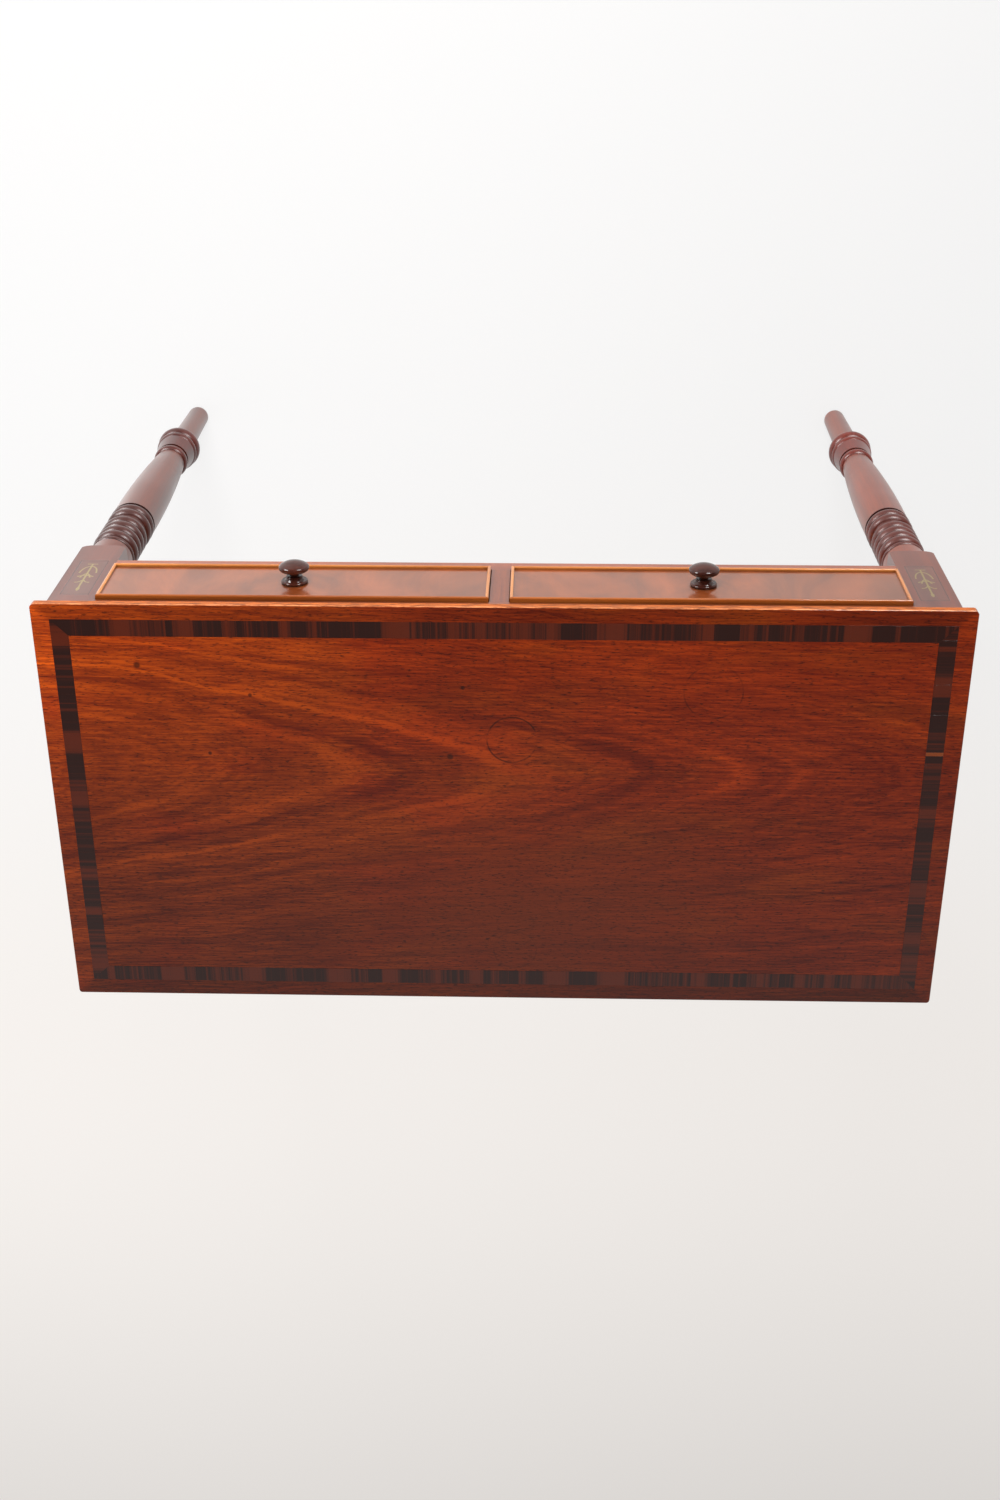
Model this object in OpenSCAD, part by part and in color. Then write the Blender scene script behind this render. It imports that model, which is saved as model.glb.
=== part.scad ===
// Writing desk on four turned legs, with two frieze drawers, a cross-banded top
// and scroll inlay on the front leg blocks.
// Millimetres. The floor is at Z = 0, the drawers face -Y, and left is -X.

/* [Overall] */
// Width of the top
desk_w = 914; // [820:1:1200]
// Depth of the top, front to back
desk_d = 453; // [430:1:600]
// Height from the floor to the writing surface
desk_h = 738; // [715:1:790]

/* [Top board] */
// Thickness of the top
top_t = 10; // [8:0.5:14]
// Rounding of the top's edges, above and below
top_edge_r = 1.5; // [0.5:0.5:3.5]
// Rounding of the top's corners, seen from above
top_corner_r = 5.5; // [2:0.5:12]
// How far the top stands out in front of the frame
front_overhang = 8; // [6:0.5:14]
// How far the top stands out past the legs at each end
side_overhang = 10; // [4:0.5:25]
// How far the top stands out behind the back legs
back_overhang = 6; // [2:0.5:20]
// Width of the plain border in front of the banding
front_border_w = 16; // [12:0.5:30]
// Width of the plain border behind the banding and at its ends
border_w = 18; // [14:0.5:30]
// Width of the cross-banding
banding_w = 17.5; // [8:0.5:30]
// Thickness of the cross-banding, let in flush
banding_t = 1.5; // [0.8:0.1:3]

/* [Frieze] */
// Height of the frieze rails
frieze_h = 128.5; // [116:0.5:146]
// Thickness of the side and back rails
rail_t = 18; // [14:0.5:22]
// How far the side and back rails sit inside the faces of the legs
rail_setback = 2; // [0:0.5:4]
// Depth of the two front rails and the divider, front to back
front_rail_d = 45; // [38:0.5:60]
// Thickness of the rail over the drawers
top_rail_h = 22; // [16:0.5:28]
// Thickness of the rail under the drawers
bottom_rail_h = 18.5; // [17:0.5:24]
// Width of the divider between the drawers
divider_w = 19; // [12:0.5:30]
// How far the divider sits to the right of the desk's middle
divider_shift = 3; // [-10:0.5:10]

/* [Joints of the frame] */
// Thickness of the tenons on the side and back rails
tenon_t = 8; // [5:0.5:9]
// Length of the tenons on the side and back rails
tenon_len = 18; // [8:0.5:20]
// How far those tenons stop short of the rail's top and bottom edges
tenon_inset = 14; // [5:0.5:30]
// Width of each twin tenon on the rail under the drawers
twin_tenon_w = 10; // [6:0.5:13]
// Length of the twin tenons
twin_tenon_len = 15; // [8:0.5:18]
// Wood left above and below the twin tenons
twin_tenon_inset = 3; // [2:0.5:5]
// Length of the dovetail at each end of the rail over the drawers
rail_dovetail_len = 15; // [8:0.5:20]
// Width of that dovetail at the shoulder
rail_dovetail_w = 22; // [12:0.5:26]
// How much that dovetail widens on each side
rail_dovetail_flare = 2.5; // [1:0.5:4]
// Wood left under that dovetail
rail_dovetail_inset = 4; // [2:0.5:6]
// Length of the divider's tenons
divider_tenon_len = 7; // [4:0.5:9]
// Wood left round the divider's tenons
divider_tenon_inset = 5; // [3:0.5:5.5]
// Clearance in every joint, hole and groove
joint_gap = 0.1; // [0.05:0.01:0.2]

/* [Leg blocks] */
// Side of the square block at the head of each leg
leg_sq = 46; // [44:0.5:56]
// How far the block runs on below the frieze
block_drop = 43.5; // [20:0.5:60]
// Rounding where the block's corners turn in to the neck
shoulder_r = 8; // [4:0.5:9]
// Width of the panel let in to each front block
panel_w = 29; // [24:0.5:36]
// Height of that panel
panel_h = 93; // [84:0.5:104]
// How far the panel sits above the middle of the block
panel_rise = 5; // [0:0.5:10]
// Thickness of that panel
panel_t = 1.2; // [0.9:0.1:2]
// Height of the scroll inlay
inlay_h = 74; // [60:0.5:80]
// Width of the inlay's lines
inlay_line = 1.5; // [0.8:0.1:2]
// Depth of the inlay
inlay_t = 0.6; // [0.4:0.1:0.8]

/* [Leg turning] */
// Radius of the plain neck under the block
neck_r = 22.8; // [21:0.1:23]
// Length of the neck
neck_len = 21; // [8:0.5:30]
// Radius of the leg in the bottoms of the grooves between the rings
core_r = 20.8; // [18:0.1:21.5]
// Radius over the thin ring next to the neck
astragal_r = 23.6; // [22:0.1:25]
// Height of the thin ring
astragal_h = 6.4; // [4:0.1:8]
// Width of the grooves on both sides of the thin ring
astragal_gap = 4.4; // [2:0.1:8]
// Number of equal rings in the upper group
reed_count = 4; // [2:1:5]
// Radius over the rings of the upper group
reed_r = 24.8; // [23:0.1:26]
// Height of one ring of the upper group
reed_h = 14.4; // [10:0.1:15]
// Space from one ring to the next
reed_space = 0.6; // [0.2:0.1:2]
// Width of the hollow between the two groups of rings
hollow_w = 8.6; // [4:0.1:12]
// Number of rings in the lower group
ring_count = 2; // [1:1:3]
// Radius over the rings of the lower group
ring_r = 25.1; // [23:0.1:27]
// Height of one ring of the lower group
ring_h = 13.8; // [10:0.1:16]
// Largest radius of the tapered vase
vase_r = 24.8; // [22:0.1:26]
// Distance from the rings to the vase's largest radius
vase_belly = 29; // [10:1:60]
// Radius at the foot of the vase
ankle_r = 17.4; // [14:0.1:19]
// Radius over the small ring under the vase
small_ring_r = 20.6; // [19.5:0.1:23]
// Height of the small ring
small_ring_h = 13; // [8:0.1:16]
// Radius of the groove under the small ring
quirk_r = 18.2; // [15:0.1:19]
// Height of the groove under the small ring
quirk_h = 3.4; // [1:0.1:6]
// Radius at the top of the cup
cup_top_r = 19.6; // [18:0.1:21]
// Radius at the foot of the cup
cup_foot_r = 22.9; // [21:0.1:24]
// Height of the cup
cup_h = 24; // [15:0.5:35]
// Radius over the upper collar
upper_collar_r = 24.6; // [23:0.1:26]
// Height of the upper collar
upper_collar_h = 12; // [8:0.5:16]
// Radius over the lower, larger collar
lower_collar_r = 26.2; // [24:0.1:28]
// Height of the lower collar
lower_collar_h = 18.5; // [12:0.5:24]
// Length of the peg foot
peg_len = 134; // [100:1:160]
// Radius at the top of the peg foot
peg_r = 15.3; // [14:0.1:18]
// Radius at the bottom of the peg foot
foot_r = 13.2; // [11:0.1:14]
// Rounding at the bottom of the peg foot
foot_edge_r = 6; // [2:0.5:8]

/* [Drawer running gear] */
// Thickness of the runners
runner_t = 16; // [10:0.5:17]
// How far a side runner or kicker reaches under or over a drawer
runner_reach = 22; // [14:0.5:30]
// Width of the middle runner and kicker
middle_runner_w = 62; // [50:1:80]
// Height of the guides on the runners
guide_h = 15; // [8:0.5:20]
// Width of a drawer stop
stop_w = 26; // [15:1:40]
// Depth of a drawer stop, front to back
stop_d = 14; // [8:0.5:18]
// Height of a drawer stop
stop_h = 5; // [3:0.5:6]
// Distance from the middle of a drawer to each of its stops
stop_spread = 95; // [60:1:120]
// Clearance between a stop and the drawer front
stop_gap = 0.3; // [0.2:0.1:0.6]
// Length of a glue block
glue_block_len = 45; // [30:1:60]
// Side of a glue block
glue_block_side = 16; // [10:0.5:20]

/* [Screws] */
// Radius of a top screw's head
screw_head_r = 4.5; // [3.5:0.1:6]
// Radius of a top screw's shank
screw_r = 2.2; // [1.5:0.1:3]
// Height of the countersunk head
screw_head_h = 3; // [2:0.1:4]
// How far a screw reaches into the top board
screw_bite = 6; // [4:0.5:6.5]

/* [Drawers] */
// How far the drawer fronts stand out from the rails
drawer_proud = 2; // [0:0.5:3]
// Clearance round a drawer in its opening
drawer_gap = 0.8; // [0.5:0.1:1.5]
// Thickness of a drawer front with its veneer
drawer_front_t = 20; // [18:0.5:24]
// Thickness of the figured veneer on the drawer fronts
veneer_t = 1.2; // [0.8:0.1:2]
// Width of the cockbead
bead_w = 3.5; // [2.5:0.1:4.5]
// How far the cockbead stands out from the drawer front
bead_proud = 3; // [2:0.1:3.5]
// How far the cockbead is let in to the drawer front
bead_in = 5; // [3:0.5:6]
// Thickness of the drawer sides
drawer_side_t = 9; // [8:0.5:12]
// Thickness of the drawer back
drawer_back_t = 9; // [8:0.5:12]
// Space between the backs of the drawers and the back rail
drawer_back_space = 25; // [12:1:80]
// How far the drawer back stops below the tops of the sides
back_drop = 6; // [2:0.5:12]
// Thickness of the drawer bottom
bottom_t = 6; // [4:0.5:8]
// Height of the drawer bottom over the runners
bottom_rise = 8; // [7:0.5:12]
// Depth of the grooves that hold the drawer bottom
groove_d = 4; // [3:0.5:6]
// Number of dovetails at each front corner
front_tails = 3; // [2:1:4]
// Number of dovetails at each back corner
back_tails = 2; // [2:1:3]
// Length of the dovetails in a drawer front
tail_len = 13; // [9:0.5:14]
// Thinnest part of a pin between two dovetails
pin_w = 5; // [3:0.5:8]
// How much a dovetail widens on each side
tail_flare = 2.2; // [1:0.1:3]
// Radius of a bottom nail
nail_r = 0.9; // [0.6:0.1:1.2]
// Radius of a bottom nail's head
nail_head_r = 2.2; // [1.6:0.1:3]
// Thickness of a nail's head
nail_head_t = 0.8; // [0.5:0.1:1.2]
// Length of a bottom nail
nail_len = 22; // [15:1:30]

/* [Knobs] */
// Distance that a knob stands out from the drawer front
knob_len = 23; // [22:0.5:30]
// Radius of the knob's head
knob_head_r = 15.3; // [13:0.1:18]
// Radius of the rounding at the head's rim
knob_rim_r = 3.2; // [2.4:0.1:4]
// Height of the dome in front of the rim
knob_dome_h = 7; // [5:0.1:8]
// Height of the head behind the rim
knob_under_h = 6; // [5:0.1:7]
// Radius of the knob's neck
knob_neck_r = 4.6; // [3.5:0.1:6]
// Radius of the flange against the drawer
knob_flange_r = 13.4; // [12:0.1:16]
// Thickness of the flange
knob_flange_t = 3.2; // [2.4:0.1:4]
// Radius over the small ring in front of the flange
knob_ring_r = 8.4; // [6:0.1:9]
// Height of the small ring
knob_ring_h = 2.6; // [2:0.1:3.2]
// Distance from the flange to the small ring
knob_ring_space = 1.8; // [1:0.1:2.5]
// How far the left knob sits to the right of its drawer's middle
left_knob_shift = 4; // [-20:0.5:20]
// How far the right knob sits to the right of its drawer's middle
right_knob_shift = 2; // [-20:0.5:20]
// Radius of the spigot in the drawer front
knob_spigot_r = 5; // [3:0.1:6]
// Length of the spigot
knob_spigot_len = 15; // [10:0.5:16]

/* [Hidden] */
$fn = 64;

// Planes, front to back. The knobs stand in front of the top's edge, and the
// middle of the whole depth is at Y = 0.
knob_margin = max(0, drawer_proud + knob_len - front_overhang);
total_d = desk_d + knob_margin;
top_front_y = knob_margin - total_d / 2;
top_back_y = total_d / 2;
face_y = top_front_y + front_overhang;
back_y = top_back_y - back_overhang;
front_leg_y = face_y + leg_sq / 2;
back_leg_y = back_y - leg_sq / 2;
rail_back_y = face_y + front_rail_d;
back_rail_y = back_y - rail_setback - rail_t;
between_y0 = face_y + leg_sq;
between_y1 = back_y - leg_sq;

// Outer edges of the banding
band_w = desk_w - 2 * border_w;
band_y0 = top_front_y + front_border_w;
band_y1 = top_back_y - border_w;

// Planes, side to side
leg_x = desk_w / 2 - side_overhang - leg_sq / 2;
bay_x = leg_x - leg_sq / 2;
side_rail_x = leg_x + leg_sq / 2 - rail_setback - rail_t;

// Width and middle of a bay: side is -1 for the left one, 1 for the right one
function bay_w(side) = bay_x - divider_w / 2 - side * divider_shift;
function bay_mid_x(side) = side * (bay_x - bay_w(side) / 2);

// Planes, bottom to top
under_z = desk_h - top_t;
frieze_z = under_z - frieze_h;
block_z = frieze_z - block_drop;
open_z = frieze_z + bottom_rail_h;
open_top_z = under_z - top_rail_h;
open_h = open_top_z - open_z;
panel_mid_z = (under_z + block_z) / 2 + panel_rise;

// Heights of the turned stages, from the block down
neck_z = block_z - neck_len;
astragal_z = neck_z - astragal_gap / 2 - astragal_h / 2;
reed_top_z = astragal_z - astragal_h / 2 - astragal_gap;
reed_pitch = reed_h + reed_space;
ring_top_z = reed_top_z - reed_count * reed_pitch - hollow_w;
ring_pitch = ring_h + reed_space;
vase_top_z = ring_top_z - ring_count * ring_pitch;
lower_collar_z = peg_len + lower_collar_h / 2;
upper_collar_z = peg_len + lower_collar_h + upper_collar_h / 2;
cup_foot_z = peg_len + lower_collar_h + upper_collar_h;
cup_top_z = cup_foot_z + cup_h;
small_ring_z = cup_top_z + quirk_h + small_ring_h / 2;
vase_foot_z = small_ring_z + small_ring_h / 2;
vase_belly_z = vase_top_z - vase_belly;

// The vase's side is one arc, upright at the belly
vase_drop = vase_belly_z - vase_foot_z;
vase_fall = vase_r - ankle_r;
vase_arc_r = (vase_drop * vase_drop + vase_fall * vase_fall) / (2 * vase_fall);

// Drawer sizes, the ones across the drawer by its side
function drawer_w(side) = bay_w(side) - 2 * drawer_gap;
function drawer_inner_x(side) = drawer_w(side) / 2 - drawer_side_t;
function knob_x(side) = side < 0 ? left_knob_shift : right_knob_shift;
drawer_h = open_h - 2 * drawer_gap;
drawer_z = open_z + drawer_gap;
drawer_mid_z = open_z + open_h / 2;
drawer_face_y = face_y - drawer_proud;
drawer_front_back_y = drawer_face_y + drawer_front_t;
drawer_end_y = back_rail_y - drawer_back_space;
bottom_z = open_z + bottom_rise;
bottom_top_z = bottom_z + bottom_t;
side_top_z = open_z + drawer_h;
back_top_z = side_top_z - back_drop;

// Knob head: the dome and the underside are arcs that run into the rim's rounding
rim_x = knob_head_r - knob_rim_r;
rim_z = knob_len - knob_dome_h;
function cap_r(h) = (rim_x * rim_x + h * h - knob_rim_r * knob_rim_r) / (2 * (h - knob_rim_r));
dome_r = cap_r(knob_dome_h);
under_r = cap_r(knob_under_h);
dome_x = rim_x * dome_r / (dome_r - knob_rim_r);
under_x = rim_x * under_r / (under_r - knob_rim_r);

// Screws run up through the front rail and the kickers into the top
screw_len = top_rail_h + screw_bite;
kicker_y0 = rail_back_y + (back_rail_y - rail_back_y) / 4;
kicker_y1 = rail_back_y + (back_rail_y - rail_back_y) * 3 / 4;
side_screw_x = (bay_x + side_rail_x) / 2;
screw_places = [
  for (side = [-1, 1]) [bay_mid_x(side), face_y + front_rail_d / 2],
  for (x = [-side_screw_x, divider_shift, side_screw_x]) for (y = [kicker_y0, kicker_y1]) [x, y]
];

// Root, bend and tip of each branch of the inlay, as shares of half its height
INLAY_BRANCHES = [
  [[0, -0.82], [0.20, -0.76], [0.23, -0.34]],
  [[0, -0.27], [0.09, -0.20], [0.13, 0]],
  [[0, -0.13], [0.13, -0.12], [0.20, -0.05]],
  [[0, 0.18], [0.07, 0.38], [0.18, 0.38]]
];

// Colours
MAHOGANY = [0.55, 0.22, 0.10];
DARK_MAHOGANY = [0.42, 0.15, 0.09];
LIGHT_BEAD = [0.74, 0.38, 0.17];
BANDING = [0.24, 0.10, 0.08];
FLAME = [0.62, 0.30, 0.15];
KNOB = [0.16, 0.08, 0.07];
INLAY = [0.76, 0.66, 0.44];
SECONDARY = [0.66, 0.49, 0.31];
STEEL = [0.42, 0.40, 0.38];

// A box between two corners
module box(x0, x1, y0, y1, z0, z1) {
  translate([x0, y0, z0])
    cube([x1 - x0, y1 - y0, z1 - z0]);
}

// The children and their mirror image on the other side of the desk
module both_sides() {
  children();
  mirror([1, 0, 0])
    children();
}

// Moves a drawer's piece to its bay: -1 for the left one, 1 for the right one
module at_bay(side) {
  translate([bay_mid_x(side), 0, 0])
    children();
}

// Moves what is drawn about X = 0 to the divider
module at_divider() {
  translate([divider_shift, 0, 0])
    children();
}

// TOP

// Plan of a rectangle with rounded corners
module rounded_plan(w, d, r) {
  union() {
    square([w - 2 * r, d], center = true);
    square([w, d - 2 * r], center = true);
    for (x = [-1, 1])
      for (y = [-1, 1])
        translate([x * (w / 2 - r), y * (d / 2 - r)])
          circle(r);
  }
}

// The board's shape: a rounded edge worked along all four sides
module top_blank() {
  mid_y = (top_front_y + top_back_y) / 2;
  mid_z = desk_h - top_t / 2;
  translate([0, mid_y, mid_z])
    intersection() {
      linear_extrude(top_t, center = true)
        rounded_plan(desk_w, desk_d, top_corner_r);
      rotate([90, 0, 90])
        linear_extrude(desk_w, center = true)
          rounded_plan(desk_d, top_t, top_edge_r);
      rotate([90, 0, 0])
        linear_extrude(desk_d, center = true)
          rounded_plan(desk_w, top_t, top_edge_r);
    }
}

// One mitred strip of banding, len long at its outer edge, which lies at Y = 0
module banding_strip(len) {
  half = len / 2;
  translate([0, 0, desk_h - banding_t])
    linear_extrude(banding_t)
      polygon([[-half, 0], [half, 0], [half - banding_w, banding_w], [banding_w - half, banding_w]]);
}

module place_front_banding() {
  translate([0, band_y0, 0])
    banding_strip(band_w);
}

module place_back_banding() {
  translate([0, band_y1, 0])
    mirror([0, 1, 0])
      banding_strip(band_w);
}

module place_right_banding() {
  translate([band_w / 2, (band_y0 + band_y1) / 2, 0])
    rotate([0, 0, 90])
      banding_strip(band_y1 - band_y0);
}

module top_board() {
  z0 = desk_h - banding_t;
  x1 = band_w / 2;
  x0 = x1 - banding_w;
  color(MAHOGANY)
    difference() {
      top_blank();
      difference() {
        box(-x1, x1, band_y0, band_y1, z0, desk_h + 1);
        box(-x0, x0, band_y0 + banding_w, band_y1 - banding_w, z0 - 1, desk_h + 2);
      }
      screws(joint_gap);
    }
}

module front_banding() {
  color(BANDING)
    place_front_banding();
}

module back_banding() {
  color(BANDING)
    place_back_banding();
}

module right_banding() {
  color(BANDING)
    place_right_banding();
}

module left_banding() {
  color(BANDING)
    mirror([1, 0, 0])
      place_right_banding();
}

// JOINTS OF THE FRAME, each drawn g larger all round, those at the legs on the right

// Tenons at the front and back ends of a side rail
module side_rail_tenons(g) {
  mid_x = side_rail_x + rail_t / 2;
  x0 = mid_x - tenon_t / 2 - g;
  x1 = mid_x + tenon_t / 2 + g;
  z0 = frieze_z + tenon_inset - g;
  z1 = under_z - tenon_inset + g;
  box(x0, x1, between_y0 - tenon_len - g, between_y0 + tenon_len, z0, z1);
  box(x0, x1, between_y1 - tenon_len, between_y1 + tenon_len + g, z0, z1);
}

// Tenon at the end of the back rail
module back_rail_tenon(g) {
  mid_y = back_rail_y + rail_t / 2;
  x1 = bay_x + tenon_len + g;
  z0 = frieze_z + tenon_inset - g;
  z1 = under_z - tenon_inset + g;
  box(bay_x - tenon_len, x1, mid_y - tenon_t / 2 - g, mid_y + tenon_t / 2 + g, z0, z1);
}

// Twin tenons at the end of the rail under the drawers
module twin_tenons(g) {
  z0 = frieze_z + twin_tenon_inset - g;
  z1 = open_z - twin_tenon_inset + g;
  for (k = [1, 3]) {
    mid_y = face_y + front_rail_d * k / 4;
    y0 = mid_y - twin_tenon_w / 2 - g;
    y1 = mid_y + twin_tenon_w / 2 + g;
    box(bay_x - twin_tenon_len, bay_x + twin_tenon_len + g, y0, y1, z0, z1);
  }
}

// Dovetail at the end of the rail over the drawers
module rail_dovetail(g) {
  mid_y = face_y + front_rail_d / 2;
  near = rail_dovetail_w / 2 + g;
  far = rail_dovetail_w / 2 + rail_dovetail_flare + g;
  z0 = open_top_z + rail_dovetail_inset - g;
  translate([bay_x, mid_y, z0])
    linear_extrude(under_z - z0)
      polygon([
        [-rail_dovetail_len, -near], [0, -near], [rail_dovetail_len + g, -far],
        [rail_dovetail_len + g, far], [0, near], [-rail_dovetail_len, near]
      ]);
}

// Tenons at the top and bottom of the divider
module divider_tenons(g) {
  x1 = divider_w / 2 - divider_tenon_inset + g;
  y0 = face_y + divider_tenon_inset - g;
  y1 = rail_back_y - divider_tenon_inset + g;
  at_divider() {
    box(-x1, x1, y0, y1, open_z - divider_tenon_len - g, open_z + divider_tenon_len);
    box(-x1, x1, y0, y1, open_top_z - divider_tenon_len, open_top_z + divider_tenon_len + g);
  }
}

// LEGS

// Half outline of a ring with a round edge, its middle at height z
module bead_outline(z, h, r) {
  translate([r - h / 2, z])
    circle(h / 2);
  translate([0, z - h / 2])
    square([r - h / 2, h]);
}

// Half outline of a stage that tapers from r_top down to r_foot
module taper_outline(z_top, z_foot, r_top, r_foot) {
  polygon([[0, z_foot], [r_foot, z_foot], [r_top, z_top], [0, z_top]]);
}

module vase_outline() {
  intersection() {
    translate([0, vase_foot_z])
      square([vase_r, vase_top_z - vase_foot_z]);
    translate([vase_r - vase_arc_r, vase_belly_z])
      circle(vase_arc_r, $fn = 720);
  }
}

// Half outline of the peg foot, with a rounded end that stands on a flat
module peg_outline() {
  taper_outline(peg_len, foot_edge_r, peg_r, foot_r);
  square([foot_r - foot_edge_r, foot_edge_r]);
  intersection() {
    translate([foot_r - foot_edge_r, foot_edge_r])
      circle(foot_edge_r);
    square([foot_r, foot_edge_r]);
  }
}

// Half outline of everything under the block, about a core that runs up in to it
module leg_outline() {
  translate([0, foot_edge_r])
    square([foot_r / 2, block_z + shoulder_r - foot_edge_r]);
  taper_outline(block_z, neck_z, neck_r, neck_r);
  taper_outline(neck_z, vase_top_z, core_r, core_r);
  bead_outline(astragal_z, astragal_h, astragal_r);
  for (k = [0 : reed_count - 1])
    bead_outline(reed_top_z - reed_h / 2 - k * reed_pitch, reed_h, reed_r);
  for (k = [0 : ring_count - 1])
    bead_outline(ring_top_z - ring_h / 2 - k * ring_pitch, ring_h, ring_r);
  vase_outline();
  bead_outline(small_ring_z, small_ring_h, small_ring_r);
  taper_outline(cup_top_z + quirk_h, cup_top_z, quirk_r, quirk_r);
  taper_outline(cup_top_z, cup_foot_z, cup_top_r, cup_foot_r);
  bead_outline(upper_collar_z, upper_collar_h, upper_collar_r);
  bead_outline(lower_collar_z, lower_collar_h, lower_collar_r);
  peg_outline();
}

// The square block, its lower corners rounded in to the neck on the lathe. The
// rounding passes 0.1 outside the corners, so that it cuts them cleanly.
module leg_block() {
  intersection() {
    translate([-leg_sq / 2, -leg_sq / 2, block_z])
      cube([leg_sq, leg_sq, under_z - block_z]);
    rotate_extrude()
      union() {
        square_top = block_z + shoulder_r;
        turn_r = leg_sq / 2 * sqrt(2) + 0.1 - shoulder_r;
        translate([0, square_top])
          square([leg_sq, desk_h - square_top]);
        translate([0, block_z])
          square([turn_r, leg_sq]);
        translate([turn_r, square_top])
          circle(shoulder_r);
      }
  }
}

module turned_leg() {
  union() {
    leg_block();
    rotate_extrude()
      leg_outline();
  }
}

module right_front_leg() {
  difference() {
    translate([leg_x, front_leg_y, 0])
      turned_leg();
    side_rail_tenons(joint_gap);
    twin_tenons(joint_gap);
    rail_dovetail(joint_gap);
    place_right_panel();
  }
}

module right_back_leg() {
  difference() {
    translate([leg_x, back_leg_y, 0])
      turned_leg();
    side_rail_tenons(joint_gap);
    back_rail_tenon(joint_gap);
  }
}

module front_right_leg() {
  color(DARK_MAHOGANY)
    right_front_leg();
}

module front_left_leg() {
  color(DARK_MAHOGANY)
    mirror([1, 0, 0])
      right_front_leg();
}

module back_right_leg() {
  color(DARK_MAHOGANY)
    right_back_leg();
}

module back_left_leg() {
  color(DARK_MAHOGANY)
    mirror([1, 0, 0])
      right_back_leg();
}

// BLOCK PANELS AND INLAY

module place_right_panel() {
  box(
    leg_x - panel_w / 2, leg_x + panel_w / 2, face_y, face_y + panel_t,
    panel_mid_z - panel_h / 2, panel_mid_z + panel_h / 2
  );
}

// A point of a branch, which bends from its root p[0] past p[1] to its tip p[2]
function branch_point(p, t) = (1 - t) * (1 - t) * p[0] + 2 * t * (1 - t) * p[1] + t * t * p[2];

// A point of the branch's outline, half the line's width to one side of it
function branch_edge(p, t, side) =
  let (along = (1 - t) * (p[1] - p[0]) + t * (p[2] - p[1]))
  branch_point(p, t) + side * inlay_line / 2 * [-along[1], along[0]] / norm(along);

// A curved branch of the inlay with a round tip
module branch(p) {
  steps = 8;
  polygon([
    for (k = [0 : steps]) branch_edge(p, k / steps, 1),
    for (k = [steps : -1 : 0]) branch_edge(p, k / steps, -1)
  ]);
  translate(p[2])
    circle(inlay_line * 0.7, $fn = 24);
}

// The scroll: a stem with pairs of branches, a bar at its foot and a bud at its head
module scroll() {
  half = inlay_h / 2;
  bud_r = inlay_h / 8;
  bud_x = bud_r - inlay_line * 1.2;
  bud_h = sqrt(bud_r * bud_r - bud_x * bud_x);
  translate([-inlay_line * 0.6, -half])
    square([inlay_line * 1.2, inlay_h - bud_h]);
  translate([-inlay_h / 14, -half])
    square([inlay_h / 7, inlay_line]);
  translate([0, half - bud_h])
    intersection() {
      translate([bud_x, 0])
        circle(bud_r);
      translate([-bud_x, 0])
        circle(bud_r);
    }
  for (p = INLAY_BRANCHES)
    for (m = [0, 1])
      mirror([m, 0, 0])
        branch(half * p);
}

// The scroll as a solid let in to the right-hand panel
module place_right_scroll() {
  translate([leg_x, face_y + inlay_t, panel_mid_z])
    rotate([90, 0, 0])
      linear_extrude(inlay_t)
        scroll();
}

module right_panel_shape() {
  difference() {
    place_right_panel();
    place_right_scroll();
  }
}

module right_block_panel() {
  color(DARK_MAHOGANY)
    right_panel_shape();
}

module left_block_panel() {
  color(DARK_MAHOGANY)
    mirror([1, 0, 0])
      right_panel_shape();
}

module right_scroll_inlay() {
  color(INLAY)
    place_right_scroll();
}

module left_scroll_inlay() {
  color(INLAY)
    mirror([1, 0, 0])
      place_right_scroll();
}

// FRAME RAILS

module back_rail() {
  color(MAHOGANY)
    union() {
      box(-bay_x, bay_x, back_rail_y, back_rail_y + rail_t, frieze_z, under_z);
      both_sides()
        back_rail_tenon(0);
    }
}

module right_rail_shape() {
  union() {
    box(side_rail_x, side_rail_x + rail_t, between_y0, between_y1, frieze_z, under_z);
    side_rail_tenons(0);
  }
}

module right_side_rail() {
  color(MAHOGANY)
    right_rail_shape();
}

module left_side_rail() {
  color(MAHOGANY)
    mirror([1, 0, 0])
      right_rail_shape();
}

module front_top_rail() {
  color(MAHOGANY)
    difference() {
      union() {
        box(-bay_x, bay_x, face_y, rail_back_y, open_top_z, under_z);
        both_sides()
          rail_dovetail(0);
      }
      divider_tenons(joint_gap);
      screws(joint_gap);
    }
}

module front_bottom_rail() {
  color(MAHOGANY)
    difference() {
      union() {
        box(-bay_x, bay_x, face_y, rail_back_y, frieze_z, open_z);
        both_sides()
          twin_tenons(0);
      }
      divider_tenons(joint_gap);
    }
}

module front_divider() {
  color(MAHOGANY)
    union() {
      at_divider()
        box(-divider_w / 2, divider_w / 2, face_y, rail_back_y, open_z, open_top_z);
      divider_tenons(0);
    }
}

// RUNNING GEAR

// A right-hand runner or kicker: it fills the space between the legs and reaches
// in under or over the drawer's side
module right_bearer(z0, z1) {
  union() {
    box(bay_x - runner_reach, bay_x, rail_back_y, back_rail_y, z0, z1);
    box(bay_x - runner_reach / 2, side_rail_x, between_y0, between_y1, z0, z1);
  }
}

module right_runner_shape() {
  right_bearer(open_z - runner_t, open_z);
}

module right_kicker_shape() {
  difference() {
    right_bearer(open_top_z, under_z);
    screws(joint_gap);
  }
}

module right_guide_shape() {
  box(bay_x, side_rail_x, between_y0, between_y1, open_z, open_z + guide_h);
}

module right_runner() {
  color(SECONDARY)
    right_runner_shape();
}

module left_runner() {
  color(SECONDARY)
    mirror([1, 0, 0])
      right_runner_shape();
}

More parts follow.
